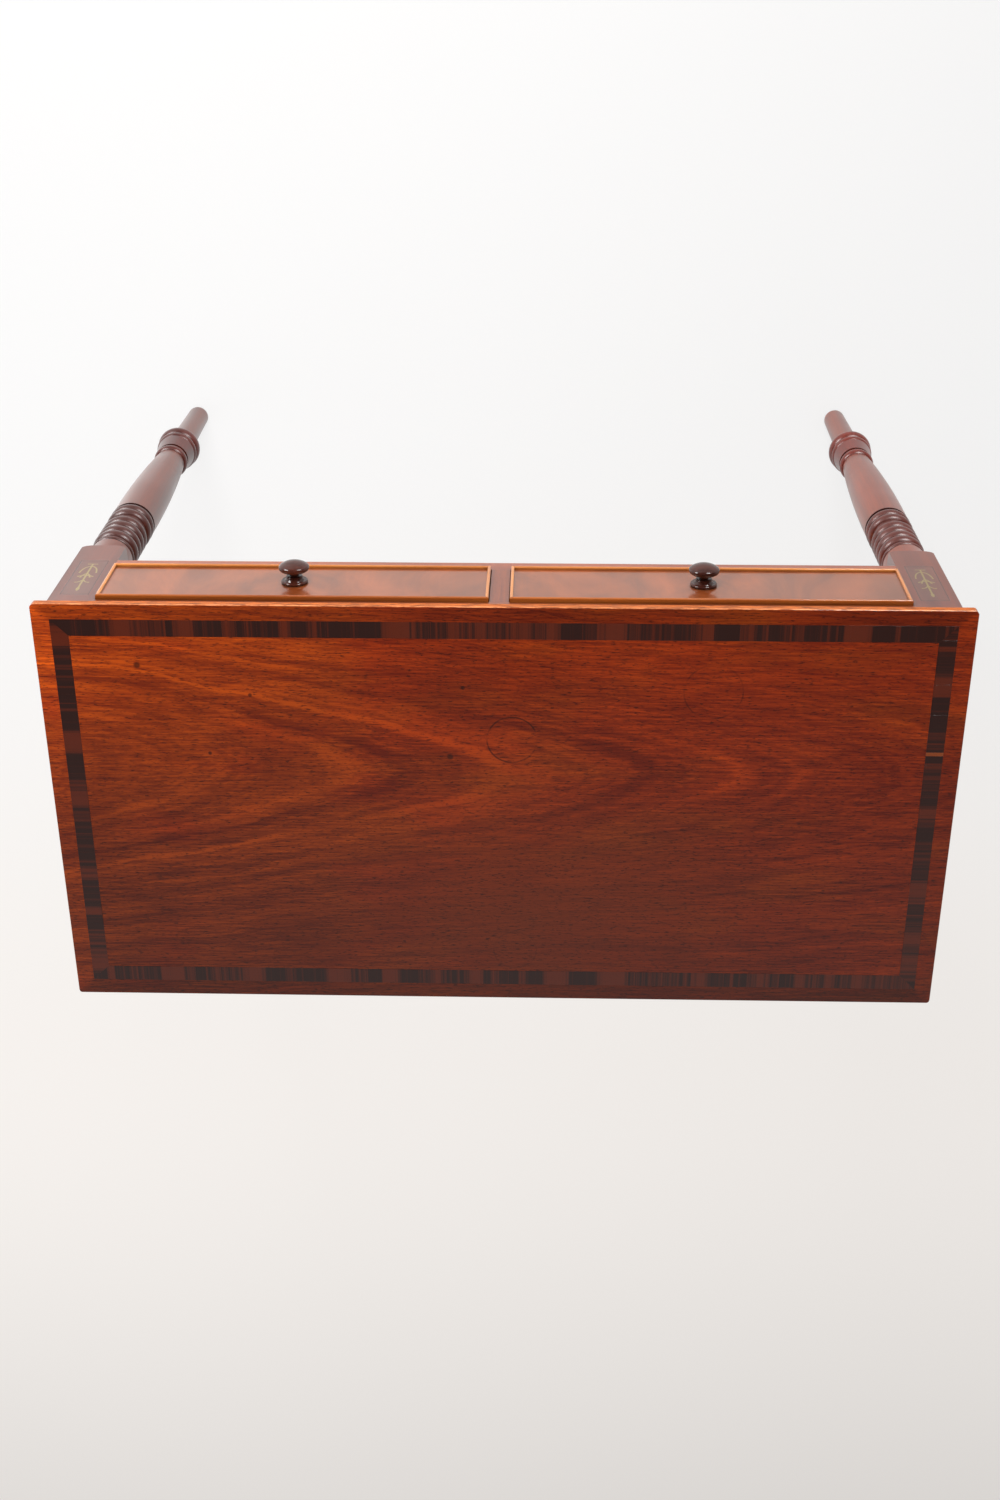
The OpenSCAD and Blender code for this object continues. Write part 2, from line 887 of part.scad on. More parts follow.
module middle_runner() {
  half = middle_runner_w / 2;
  color(SECONDARY)
    at_divider()
      box(-half, half, rail_back_y, back_rail_y, open_z - runner_t, open_z);
}

module right_guide() {
  color(SECONDARY)
    right_guide_shape();
}

module left_guide() {
  color(SECONDARY)
    mirror([1, 0, 0])
      right_guide_shape();
}

module middle_guide() {
  half = divider_w / 2;
  color(SECONDARY)
    at_divider()
      box(-half, half, rail_back_y, back_rail_y, open_z, open_z + guide_h);
}

module right_kicker() {
  color(SECONDARY)
    right_kicker_shape();
}

module left_kicker() {
  color(SECONDARY)
    mirror([1, 0, 0])
      right_kicker_shape();
}

module middle_kicker() {
  half = middle_runner_w / 2;
  color(SECONDARY)
    difference() {
      at_divider()
        box(-half, half, rail_back_y, back_rail_y, open_top_z, under_z);
      screws(joint_gap);
    }
}

// Two small blocks behind each drawer front, on the rail under the drawers
module drawer_stops() {
  y0 = drawer_front_back_y + stop_gap;
  color(SECONDARY)
    for (bay = [-1, 1])
      for (s = [-1, 1])
        translate([bay_mid_x(bay) + s * stop_spread, 0, 0])
          box(-stop_w / 2, stop_w / 2, y0, y0 + stop_d, open_z, open_z + stop_h);
}

// Three-sided blocks in the corner of the back rail and the top
module glue_blocks() {
  color(SECONDARY)
    for (bay = [-1, 1])
      for (s = [-1, 1])
        translate([bay_mid_x(bay) + s * bay_w(bay) / 5 - glue_block_len / 2, back_rail_y, under_z])
          rotate([90, 0, 90])
            linear_extrude(glue_block_len)
              polygon([[0, 0], [-glue_block_side, 0], [0, -glue_block_side]]);
}

// Countersunk screws, g larger all round
module screws(g) {
  for (p = screw_places)
    translate([p[0], p[1], open_top_z])
      rotate_extrude()
        polygon([
          [0, -g], [screw_head_r + g, -g], [screw_head_r + g, g], [screw_r + g, screw_head_h + g],
          [screw_r + g, screw_len - screw_r + g], [0, screw_len + g]
        ]);
}

module top_screws() {
  color(STEEL)
    screws(0);
}

// DRAWERS, each drawn about the middle of its bay: side is -1 for the left one, 1 for the right one

// A row of dovetails in a board's end, spread over the height z0 to z1
module tails(side, count, y_root, y_tip, z0, z1, g) {
  pitch = (z1 - z0) / count;
  far = (pitch - pin_w) / 2 + g;
  near = far - tail_flare;
  y_inside = y_root + sign(y_root - y_tip);
  for (k = [0 : count - 1])
    translate([drawer_inner_x(side) - g, 0, z0 + (k + 0.5) * pitch])
      rotate([90, 0, 90])
        linear_extrude(drawer_side_t + 2 * g)
          polygon([
            [y_inside, -near], [y_root, -near], [y_tip, -far],
            [y_tip, far], [y_root, near], [y_inside, near]
          ]);
}

module front_corner_tails(side, g) {
  tip = drawer_front_back_y - tail_len - g;
  tails(side, front_tails, drawer_front_back_y, tip, open_z, side_top_z, g);
}

module back_corner_tails(side, g) {
  root = drawer_end_y - drawer_back_t;
  tails(side, back_tails, root, drawer_end_y, bottom_top_z, back_top_z, g);
}

// The groove for the drawer bottom, along both sides and the front
module bottom_groove(side) {
  x1 = drawer_inner_x(side) + groove_d;
  y0 = drawer_front_back_y - groove_d;
  box(-x1, x1, y0, drawer_end_y + 1, bottom_z, bottom_top_z + joint_gap);
}

module nails(side, g) {
  for (k = [-1, 0, 1])
    translate([k * drawer_w(side) / 3, drawer_end_y - drawer_back_t / 2, bottom_z]) {
      translate([0, 0, -g])
        cylinder(nail_head_t + 2 * g, nail_head_r + g, nail_head_r + g);
      cylinder(nail_len + g, nail_r + g, nail_r + g);
    }
}

// The knob, with its spigot behind the drawer's face
module knob_head_outline() {
  translate([rim_x, rim_z])
    circle(knob_rim_r);
  intersection() {
    translate([0, rim_z])
      square([dome_x, knob_dome_h]);
    translate([0, knob_len - dome_r])
      circle(dome_r, $fn = 180);
  }
  intersection() {
    translate([0, rim_z - knob_under_h])
      square([under_x, knob_under_h]);
    translate([0, rim_z - knob_under_h + under_r])
      circle(under_r, $fn = 180);
  }
}

module knob_outline() {
  edge = knob_flange_t / 2;
  ring_z = knob_flange_t + knob_ring_space + knob_ring_h / 2;
  waist_z = rim_z - knob_under_h;
  translate([knob_flange_r - edge, edge])
    circle(edge);
  square([knob_flange_r - edge, knob_flange_t]);
  polygon([
    [0, edge], [knob_flange_r - knob_flange_t, edge], [knob_flange_r - knob_flange_t, knob_flange_t],
    [knob_ring_r - knob_ring_h / 2, ring_z], [0, ring_z]
  ]);
  bead_outline(ring_z, knob_ring_h, knob_ring_r);
  translate([0, ring_z])
    square([knob_neck_r, max(0, waist_z - ring_z) + edge]);
  knob_head_outline();
}

module knob_spigot(side, g) {
  translate([knob_x(side), drawer_face_y + knob_spigot_len + g, drawer_mid_z])
    rotate([90, 0, 0])
      cylinder(knob_spigot_len + knob_flange_t / 2 + g, knob_spigot_r + g, knob_spigot_r + g);
}

module knob(side) {
  color(KNOB)
    union() {
      translate([knob_x(side), drawer_face_y, drawer_mid_z])
        rotate([90, 0, 0])
          rotate_extrude()
            knob_outline();
      knob_spigot(side, 0);
    }
}

module drawer_front(side) {
  half = drawer_w(side) / 2;
  top = drawer_z + drawer_h;
  color(SECONDARY)
    difference() {
      box(-half, half, drawer_face_y + veneer_t, drawer_front_back_y, drawer_z, top);
      bead_rebate(side);
      both_sides()
        front_corner_tails(side, joint_gap);
      bottom_groove(side);
      knob_spigot(side, joint_gap);
    }
}

// The step round the drawer front that the cockbead sits in
module bead_rebate(side) {
  half = drawer_w(side) / 2;
  top = drawer_z + drawer_h;
  y1 = drawer_face_y + bead_in;
  difference() {
    box(-half - 1, half + 1, drawer_face_y - 1, y1, drawer_z - 1, top + 1);
    box(-half + bead_w, half - bead_w, drawer_face_y - 2, y1 + 1, drawer_z + bead_w, top - bead_w);
  }
}

module drawer_veneer(side) {
  half = drawer_w(side) / 2 - bead_w;
  y1 = drawer_face_y + veneer_t;
  color(FLAME)
    difference() {
      box(-half, half, drawer_face_y, y1, drawer_z + bead_w, drawer_z + drawer_h - bead_w);
      knob_spigot(side, joint_gap);
    }
}

// A mitred length of cockbead along X, with its outer face at Z = 0
module bead_bar(len) {
  half = len / 2;
  intersection() {
    rotate([90, 0, 90])
      linear_extrude(len, center = true)
        union() {
          translate([bead_w / 2 - bead_proud, -bead_w])
            square([bead_in + bead_proud - bead_w / 2, bead_w]);
          translate([bead_w / 2 - bead_proud, -bead_w / 2])
            circle(bead_w / 2);
        }
    translate([0, bead_in, 0])
      rotate([90, 0, 0])
        linear_extrude(bead_in + bead_proud)
          polygon([[-half, 0], [half, 0], [half - bead_w, -bead_w], [bead_w - half, -bead_w]]);
  }
}

module cockbead_top(side) {
  color(LIGHT_BEAD)
    translate([0, drawer_face_y, drawer_z + drawer_h])
      bead_bar(drawer_w(side));
}

module cockbead_bottom(side) {
  color(LIGHT_BEAD)
    translate([0, drawer_face_y, drawer_z])
      mirror([0, 0, 1])
        bead_bar(drawer_w(side));
}

module cockbead_side(side) {
  color(LIGHT_BEAD)
    translate([drawer_w(side) / 2, drawer_face_y, drawer_mid_z])
      rotate([0, 90, 0])
        bead_bar(drawer_h);
}

module drawer_side(side) {
  tip = drawer_front_back_y - tail_len;
  root = drawer_end_y - drawer_back_t;
  x0 = drawer_inner_x(side);
  x1 = drawer_w(side) / 2;
  color(SECONDARY)
    difference() {
      box(x0, x1, tip, drawer_end_y, open_z, side_top_z);
      difference() {
        box(x0 - 1, x1 + 1, tip - 1, drawer_front_back_y, open_z - 1, side_top_z + 1);
        front_corner_tails(side, 0);
      }
      difference() {
        box(x0 - 1, x1 + 1, root, drawer_end_y + 1, bottom_top_z, back_top_z);
        back_corner_tails(side, 0);
      }
      bottom_groove(side);
    }
}

module drawer_back(side) {
  half = drawer_w(side) / 2;
  color(SECONDARY)
    difference() {
      box(-half, half, drawer_end_y - drawer_back_t, drawer_end_y, bottom_top_z, back_top_z);
      both_sides()
        back_corner_tails(side, joint_gap);
      nails(side, joint_gap);
    }
}

module drawer_bottom(side) {
  x1 = drawer_inner_x(side) + groove_d - joint_gap;
  y0 = drawer_front_back_y - groove_d + joint_gap;
  color(SECONDARY)
    difference() {
      box(-x1, x1, y0, drawer_end_y, bottom_z, bottom_top_z);
      nails(side, joint_gap);
    }
}

module bottom_nails(side) {
  color(STEEL)
    nails(side, 0);
}

top_board();
front_banding();
back_banding();
left_banding();
right_banding();
front_left_leg();
front_right_leg();
back_left_leg();
back_right_leg();
left_block_panel();
right_block_panel();
left_scroll_inlay();
right_scroll_inlay();
back_rail();
left_side_rail();
right_side_rail();
front_top_rail();
front_bottom_rail();
front_divider();
left_runner();
right_runner();
middle_runner();
left_guide();
right_guide();
middle_guide();
left_kicker();
right_kicker();
middle_kicker();
drawer_stops();
glue_blocks();
top_screws();

at_bay(-1) drawer_front(-1);  // left_drawer_front
at_bay(-1) drawer_veneer(-1);  // left_drawer_veneer
at_bay(-1) mirror([1, 0, 0]) drawer_side(-1);  // left_drawer_left_side
at_bay(-1) drawer_side(-1);  // left_drawer_right_side
at_bay(-1) drawer_back(-1);  // left_drawer_back
at_bay(-1) drawer_bottom(-1);  // left_drawer_bottom
at_bay(-1) cockbead_top(-1);  // left_cockbead_top
at_bay(-1) cockbead_bottom(-1);  // left_cockbead_bottom
at_bay(-1) mirror([1, 0, 0]) cockbead_side(-1);  // left_cockbead_left
at_bay(-1) cockbead_side(-1);  // left_cockbead_right
at_bay(-1) knob(-1);  // left_knob
at_bay(-1) bottom_nails(-1);  // left_bottom_nails

at_bay(1) drawer_front(1);  // right_drawer_front
at_bay(1) drawer_veneer(1);  // right_drawer_veneer
at_bay(1) mirror([1, 0, 0]) drawer_side(1);  // right_drawer_left_side
at_bay(1) drawer_side(1);  // right_drawer_right_side
at_bay(1) drawer_back(1);  // right_drawer_back
at_bay(1) drawer_bottom(1);  // right_drawer_bottom
at_bay(1) cockbead_top(1);  // right_cockbead_top
at_bay(1) cockbead_bottom(1);  // right_cockbead_bottom
at_bay(1) mirror([1, 0, 0]) cockbead_side(1);  // right_cockbead_left
at_bay(1) cockbead_side(1);  // right_cockbead_right
at_bay(1) knob(1);  // right_knob
at_bay(1) bottom_nails(1);  // right_bottom_nails
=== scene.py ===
"""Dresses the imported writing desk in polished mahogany, banding and inlay, and sets up its studio."""

import math
import random

import bmesh
import bpy
from bpy.props import FloatProperty, FloatVectorProperty, IntProperty, PointerProperty
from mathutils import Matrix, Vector


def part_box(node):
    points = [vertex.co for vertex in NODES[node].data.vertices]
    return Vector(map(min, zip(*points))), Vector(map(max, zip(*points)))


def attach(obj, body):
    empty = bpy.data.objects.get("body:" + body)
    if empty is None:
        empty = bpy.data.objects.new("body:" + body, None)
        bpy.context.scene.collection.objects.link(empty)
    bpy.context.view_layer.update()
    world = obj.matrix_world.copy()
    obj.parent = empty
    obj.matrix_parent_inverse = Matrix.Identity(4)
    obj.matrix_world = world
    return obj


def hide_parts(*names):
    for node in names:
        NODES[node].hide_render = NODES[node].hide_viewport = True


bl_info = {
    "name": "Writing Desk",
    "version": (1, 0, 0),
    "blender": (4, 5, 0),
    "location": "3D View > Sidebar > Writing Desk",
    "description": "Finishes the parts of a writing desk and sets up its studio",
    "category": "Object",
}

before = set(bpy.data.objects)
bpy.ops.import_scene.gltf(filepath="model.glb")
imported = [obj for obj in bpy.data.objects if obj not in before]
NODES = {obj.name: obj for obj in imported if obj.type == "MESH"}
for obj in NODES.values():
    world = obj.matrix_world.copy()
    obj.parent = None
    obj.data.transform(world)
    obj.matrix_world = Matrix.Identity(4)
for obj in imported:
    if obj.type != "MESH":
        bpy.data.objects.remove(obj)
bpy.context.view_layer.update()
SIDES = ("left", "right")
WHITE = (1.0, 1.0, 1.0)
# Strength of the varnish on most of the desk, and its roughness on flat work and on the legs
VARNISH = 0.8
VARNISH_ROUGHNESS = 0.085
LEG_ROUGHNESS = 0.33
# Roughness of the wood itself, from its smoothest places to its dullest
TOP_WOOD = (0.29, 0.39)
POLISHED_WOOD = (0.29, 0.45)
BARE_WOOD = (0.56, 0.72)


def colour(name, text, default):
    """A colour setting in linear light."""
    return FloatVectorProperty(
        name=name, description=text, subtype="COLOR", size=3, min=0.0, max=1.0, default=default
    )


def length(name, text, default):
    """A length setting in metres."""
    return FloatProperty(
        name=name, description=text, default=default, min=0.0, unit="LENGTH", precision=5
    )


def number(name, text, default, unit="NONE"):
    """A plain setting, or one in a unit of Blender's such as watts."""
    return FloatProperty(name=name, description=text, default=default, unit=unit)


class TopSettings(bpy.types.PropertyGroup):
    """Sizes and colours of the top and its banding."""

    light: colour("Light wood", "Light streaks of the top", (0.49, 0.068, 0.0022))
    dark: colour("Dark wood", "Dark streaks of the top", (0.130, 0.0125, 0.0016))
    dull: colour("Dull wood", "Neutral brown patches of the top", (0.158, 0.027, 0.0050))
    worn: colour("Worn edge", "Worn wood of the upright edges", (0.56, 0.130, 0.015))
    # Painted highlight: the colour along the top's arris
    arris_highlight: colour("Rubbed arris", "Bare wood where the arris is rubbed through", (0.80, 0.29, 0.11))
    stain: colour("Stain", "Dark marks, pores and dirt", (0.022, 0.005, 0.002))
    band_black: colour("Banding, dark", "Dark blocks of the banding", (0.027, 0.0075, 0.005))
    band_red: colour("Banding, red", "Reddish blocks of the banding", (0.105, 0.0150, 0.0042))
    band_pale: colour("Banding, pale", "Pale strip in the left banding", (0.24, 0.050, 0.010))
    figure_y: length("Figure line", "How far the figure's line lies in front of the desk's middle", 0.041)
    figure_tip: length("Figure tip", "Roundness of the figure's pointed ends", 0.028)
    # Painted shade: how dark the top is painted at its back edge
    back_shade: number("Back shade", "Brightness of the wood at the back edge", 0.62)
    band_block: length("Banding block", "Mean width of a block of banding", 0.030)
    band_gap: length("Banding gap", "Widest open joint beside a block of banding", 0.0003)
    band_seed: IntProperty(name="Banding seed", description="Seed of the banding's blocks", default=7)


class BodySettings(bpy.types.PropertyGroup):
    """Colours of the frame, legs and inner wood."""

    leg_light: colour("Legs, light", "Light grain of the legs", (0.21, 0.040, 0.014))
    leg_dark: colour("Legs, dark", "Dark grain of the legs", (0.075, 0.014, 0.007))
    leg_warm: number("Warm leg", "Brightness of the redder left front leg", 1.75)
    frame_light: colour("Frame, light", "Light grain of the frieze", (0.29, 0.062, 0.012))
    frame_dark: colour("Frame, dark", "Dark grain of the frieze", (0.14, 0.026, 0.007))
    panel_light: colour("Panels, light", "Light grain of the block panels", (0.155, 0.036, 0.014))
    panel_dark: colour("Panels, dark", "Dark grain of the block panels", (0.085, 0.019, 0.009))
    inlay: colour("Inlay", "Scroll inlay", (0.34, 0.25, 0.085))
    inner_light: colour("Inner wood, light", "Light grain of the unpolished wood", (0.42, 0.25, 0.12))
    inner_dark: colour("Inner wood, dark", "Dark grain of the unpolished wood", (0.25, 0.13, 0.055))
    iron: colour("Iron", "Screws and nails", (0.10, 0.09, 0.08))


class DrawerSettings(bpy.types.PropertyGroup):
    """Colours of the drawers and their knobs."""

    flame_light: colour("Flame, light", "Light flames of the veneer", (0.35, 0.072, 0.011))
    flame_dark: colour("Flame, dark", "Dark flames of the veneer", (0.065, 0.012, 0.005))
    # The cockbeads' colours are lightened to carry a painted highlight on their noses
    bead_light: colour("Cockbead, light", "Light grain of the cockbeads", (0.78, 0.29, 0.06))
    bead_dark: colour("Cockbead, dark", "Dark grain of the cockbeads", (0.44, 0.125, 0.022))
    knob_light: colour("Knob, light", "Worn places on the knobs", (0.078, 0.018, 0.010))
    knob_dark: colour("Knob, dark", "Dark wood of the knobs", (0.022, 0.006, 0.004))


class StudioSettings(bpy.types.PropertyGroup):
    """Camera, floor and lights."""

    camera_place: FloatVectorProperty(
        name="Camera", description="Place of the camera", subtype="XYZ", unit="LENGTH",
        default=(-0.0408, -0.8739, 2.3231),
    )
    camera_turn: FloatVectorProperty(
        name="Camera turn", description="Turn of the camera", subtype="EULER", unit="ROTATION",
        default=(math.radians(-27.0498), math.radians(1.4623), math.radians(179.8712)),
    )
    lens: number("Lens", "Focal length in millimetres", 42.78, "CAMERA")
    floor: colour("Floor", "Colour of the floor", (0.86, 0.84, 0.82))
    world_light: number("World light", "Strength of the soft light", 0.50)
    key_power: number("Key lamp", "Power of the large front lamp", 37.0, "POWER")
    fill_power: number("Fill lamp", "Power of the side lamp", 6.0, "POWER")
    window_power: number("Windows", "Power of the two mirrored lamps", 40.0, "POWER")


SETTINGS = (
    ("desk_top", TopSettings),
    ("desk_body", BodySettings),
    ("desk_drawers", DrawerSettings),
    ("desk_studio", StudioSettings),
)


class Recipe:
    """The node tree of one new material or world, with short ways to add nodes to it."""

    def __init__(self, name, library=None):
        self.owner = (bpy.data.materials if library is None else library).new(name)
        self.owner.use_nodes = True
        self.tree = self.owner.node_tree
        self.tree.nodes.clear()
        self.place = self.node("ShaderNodeTexCoord", {}).outputs["Object"]

    def node(self, kind, inputs, **settings):
        """Adds a node; an input is a value or the socket that feeds it."""
        made = self.tree.nodes.new(kind)
        for key, value in settings.items():
            setattr(made, key, value)
        for key, value in inputs.items():
            if isinstance(value, bpy.types.NodeSocket):
                self.tree.links.new(value, made.inputs[key])
            else:
                made.inputs[key].default_value = value
        return made

    def math(self, operation, first, second=0.0):
        return self.node("ShaderNodeMath", {0: first, 1: second}, operation=operation).outputs[0]

    def plus(self, first, second):
        return self.math("ADD", first, second)

    def minus(self, first, second):
        return self.math("SUBTRACT", first, second)

    def times(self, first, second):
        return self.math("MULTIPLY", first, second)

    def larger(self, first, second):
        return self.math("MAXIMUM", first, second)

    def beyond(self, value, low, high):
        """How far a value lies outside low..high, negative inside."""
        middle = (low + high) / 2
        return self.minus(self.math("ABSOLUTE", self.minus(value, middle)), high - middle)

    def between(self, factor, first, second):
        """A value on the way from the first to the second."""
        return self.node("ShaderNodeMix", {0: factor, 2: first, 3: second}).outputs[0]

    def spread(self, value, low, high, to_low=0.0, to_high=1.0):
        """Maps low..high to to_low..to_high and clamps it."""
        inputs = {0: value, 1: low, 2: high, 3: to_low, 4: to_high}
        return self.node("ShaderNodeMapRange", inputs, interpolation_type="SMOOTHSTEP").outputs[0]

    def varied(self, noise, low, high):
        """Maps a noise to low..high; most of a noise lies between 0.3 and 0.7."""
        return self.spread(noise, 0.3, 0.7, low, high)

    def split(self, vector):
        return self.node("ShaderNodeSeparateXYZ", {0: vector}).outputs

    def joined(self, x, y, z):
        return self.node("ShaderNodeCombineXYZ", {0: x, 1: y, 2: z}).outputs[0]

    def vector_math(self, operation, first, second):
        return self.node("ShaderNodeVectorMath", {0: first, 1: second}, operation=operation).outputs

    def stretched(self, vector, scale):
        return self.vector_math("MULTIPLY", vector, scale)[0]

    def moved(self, vector, step):
        return self.vector_math("ADD", vector, step)[0]

    def distance(self, vector, point):
        return self.vector_math("DISTANCE", vector, point)["Value"]

    def noise(self, vector, detail=2.0, roughness=0.5, scale=1.0, distortion=0.0):
        inputs = {
            "Vector": vector, "Scale": scale, "Detail": detail, "Roughness": roughness,
            "Distortion": distortion,
        }
        return self.node("ShaderNodeTexNoise", inputs).outputs[0]

    def grain(self, vector, axis, waves, **look):
        """A noise drawn out along an axis; waves are its waves per metre along the axis and across it."""
        scale = tuple(waves[0] if letter == axis else waves[1] for letter in "XYZ")
        return self.noise(self.stretched(vector, scale), **look)

    def noise_line(self, value, detail=2.0, roughness=0.5, scale=1.0):
        inputs = {"W": value, "Scale": scale, "Detail": detail, "Roughness": roughness}
        return self.node("ShaderNodeTexNoise", inputs, noise_dimensions="1D").outputs[0]

    def mix(self, factor, first, second, blend="MIX"):
        inputs = {0: factor, 6: first, 7: second}
        return self.node("ShaderNodeMix", inputs, data_type="RGBA", blend_type=blend).outputs[2]

    def bump(self, height, distance, strength=1.0, normal=None):
        inputs = {"Height": height, "Distance": distance, "Strength": strength}
        if normal is not None:
            inputs["Normal"] = normal
        return self.node("ShaderNodeBump", inputs).outputs[0]

    def corners(self, distance):
        """1 on open faces, falling to 0 in corners and grooves."""
        inputs = {"Distance": distance}
        return self.node("ShaderNodeAmbientOcclusion", inputs, samples=6).outputs["AO"]

    def finish(self, base, roughness, normal, coat=0.0, metallic=0.0, specular=0.5, sheen_tint=WHITE,
               varnish=VARNISH_ROUGHNESS, ior=1.5):
        """Ends the tree in a surface; sheen_tint colours the gloss under the varnish."""
        inputs = {
            "Base Color": base, "Roughness": roughness, "Normal": normal, "Metallic": metallic,
            "Coat Weight": coat, "Coat Roughness": varnish, "Specular IOR Level": specular,
            "Specular Tint": rgba(sheen_tint), "IOR": ior,
        }
        surface = self.node("ShaderNodeBsdfPrincipled", inputs)
        self.node("ShaderNodeOutputMaterial", {"Surface": surface.outputs[0]})
        return self.owner


def rgba(three):
    return (three[0], three[1], three[2], 1.0)


def tinted(tone, tint):
    """A colour seen through a tint."""
    return tuple(part * share for part, share in zip(tone, tint))


def scaled(tone, share):
    """A colour made darker or lighter."""
    return tinted(tone, (share, share, share))


# Waves per metre of the grain's noises, along the grain and across it
WANDER_WAVES = (1.1, 4.0)
FIGURE_WAVES = (1.6, 34.0)
FIBRE_WAVES = (11.0, 620.0)
PORE_WAVES = (85.0, 1900.0)
# Waves per metre of the veneer's mottling, along the desk, across it and upwards
MOTTLE_WAVES = (17.0, 26.0, 10.0)
# How far the grain wanders, in metres
WANDER = (0.05, 0.05, 0.05)
# Distance from the middle tone at which grain is fully light or dark, and what full calm adds to it
TONE_REACH = 0.16
CALM_REACH = 0.30
# Values of the noise between which a pore shows, and its darkness
PORE_EDGE = (0.60, 0.74)
PORE_DARKNESS = 0.55
# Height over which a tint sets in
TINT_EDGE = 0.003
# The dark line along a panel's edges: where it sets in and is full, outwards, and how dark it is
SEAM_LINE = (-0.0011, -0.0006)
SEAM_DARKNESS = 0.85
# Reach of the darkening out of corners and grooves, partly dirt and partly painted shade,
# and how open a place is where it is full and where it ends
DIRT_AND_SHADE_REACH = 0.006
DIRT_AND_SHADE_EDGE = (0.40, 0.92)
# Depth of the pores in polished and in bare wood
POLISHED_PORES = 0.00012
BARE_PORES = 0.0004


def wood(name, axis, light, dark, polish, pores=1.0, flame=0.0, dirt_and_shade=0.0, calm=0.0, relief=1.0,
         tints=(), seam=None, stain=(0.030, 0.008, 0.004), specular=0.3, **gloss):
    """Straight-grained wood along an axis; polish is the strength of the varnish, 0 for bare wood.

    Pores is the strength of its specks, relief the depth of its pores, flame the share of mottling in its
    grain, and the dirt setting gives the darkening of its corners and grooves, partly dirt and partly
    painted shade; calm from 0 to 1 fades the grain. Tints lists the heights between which a leg is tinted,
    as painted shade on its rings and cup and as the tint of the redder leg's block, and seam is the box of
    a panel that has a dark line along its edges.
    """
    r = Recipe(name)
    wander = r.grain(r.place, axis, WANDER_WAVES)
    moved = r.moved(r.place, r.stretched(r.joined(wander, wander, wander), WANDER))
    figure = r.grain(moved, axis, FIGURE_WAVES, detail=3.0, roughness=0.55)
    fibre = r.grain(r.place, axis, FIBRE_WAVES, roughness=0.6)
    pore = r.grain(r.place, axis, PORE_WAVES, detail=1.0)
    tone = r.plus(r.times(figure, 0.75), r.times(fibre, 0.25))
    if flame:
        mottle = r.noise(r.stretched(moved, MOTTLE_WAVES), detail=4.0, roughness=0.62, distortion=0.8)
        tone = r.plus(r.times(tone, 1.0 - flame), r.times(mottle, flame))
    reach = TONE_REACH + CALM_REACH * calm
    base = r.mix(r.spread(tone, 0.5 - reach, 0.5 + reach), rgba(dark), rgba(light))
    specks = r.times(r.spread(pore, *PORE_EDGE), PORE_DARKNESS * pores)
    base = r.mix(specks, base, rgba(stain))
    for low, high, tint in tints:
        height = r.split(r.place)[2]
        above = r.spread(height, low - TINT_EDGE, low)
        below = r.spread(height, high, high + TINT_EDGE, 1.0, 0.0)
        base = r.mix(r.times(above, below), base, rgba(tint), "MULTIPLY")
    if seam:
        low, high = seam
        x, _, z = r.split(r.place)
        over = r.larger(r.beyond(x, low.x, high.x), r.beyond(z, low.z, high.z))
        base = r.mix(r.spread(over, *SEAM_LINE, 0.0, SEAM_DARKNESS), base, rgba(stain))
    # Darker in corners and grooves: partly dirt, partly painted shade
    if dirt_and_shade:
        groove = r.spread(r.corners(DIRT_AND_SHADE_REACH), *DIRT_AND_SHADE_EDGE, dirt_and_shade, 0.0)
        base = r.mix(groove, base, rgba(stain))
    soft = r.noise(r.place, scale=9.0)
    uneven = r.plus(r.times(soft, 0.6), r.times(fibre, 0.4 * relief))
    uneven = r.plus(uneven, 0.2 * (1.0 - relief))
    roughness = r.varied(uneven, *(POLISHED_WOOD if polish else BARE_WOOD))
    depth = (POLISHED_PORES if polish else BARE_PORES) * relief
    normal = r.bump(r.minus(r.times(fibre, 0.4), specks), depth, 0.6)
    return r.finish(base, roughness, normal, coat=polish, specular=specular, **gloss)


def dress(names, material):
    """Gives CAD nodes a material in place of their own."""
    for name in names:
        slots = NODES[name].data.materials
        slots.clear()
        slots.append(material)


# TOP

FLAMES = (
    # Place of the pointed tip along the desk, half width, strength; a dark flame's strength is negative
    (-0.030, 0.022, 0.15),
    (-0.075, 0.016, 0.06),
    (0.070, 0.030, -0.05),
    (0.128, 0.030, 0.09),
    (0.203, 0.026, -0.045),
    (0.262, 0.022, 0.06),
    (-0.180, 0.040, -0.05),
    (-0.262, 0.022, 0.05),
)
SHADES = (
    # x, y, reach and brightness of the wide areas of painted light and shade
    (0.00, -0.19, 0.24, 0.78),
    (0.36, 0.14, 0.34, 0.82),
    (-0.36, 0.14, 0.30, 0.84),
    (0.00, 0.17, 0.24, 1.18),
)
RING_MARKS = (
    # x, y, radius, strength of the rings left by cups and glasses
    (-0.0105, -0.0756, 0.0250, 0.75),
    (-0.2080, -0.1300, 0.0290, 0.45),
    (-0.0140, 0.1734, 0.0225, 0.30),
)
SPOTS = (
    # x, y, radius of the dark spots
    (0.3574, -0.1541, 0.0042),
    (0.2482, -0.1226, 0.0026),
    (0.0377, -0.1323, 0.0028),
    (0.0516, -0.0559, 0.0038),
    (0.2929, -0.0578, 0.0024),
)
STREAKS = (
    # Waves per metre along the desk and across the figure, slice, detail, roughness, share of the tone
    (1.6, 5.0, 0.0, 2.0, 0.50, 0.20),
    (3.0, 26.0, 3.0, 3.0, 0.65, 0.16),
    (11.0, 95.0, 7.0, 2.0, 0.60, 0.19),
)
FIBRE_SHARE = 0.45
# Slope and curve by which the figure's lines bow away from their tips, and how far they lie along the desk
FIGURE_SLOPE = 1.7
FIGURE_CURVE = 24.0
FIGURE_SHIFT = 0.023
# How far the figure's middle wanders, and how ragged its lines are, in metres
FIGURE_WANDER = 0.06
FIGURE_RAGGED = 0.045
# Tones at which the wood is fully dark and fully light
TOP_TONES = (0.36, 0.68)
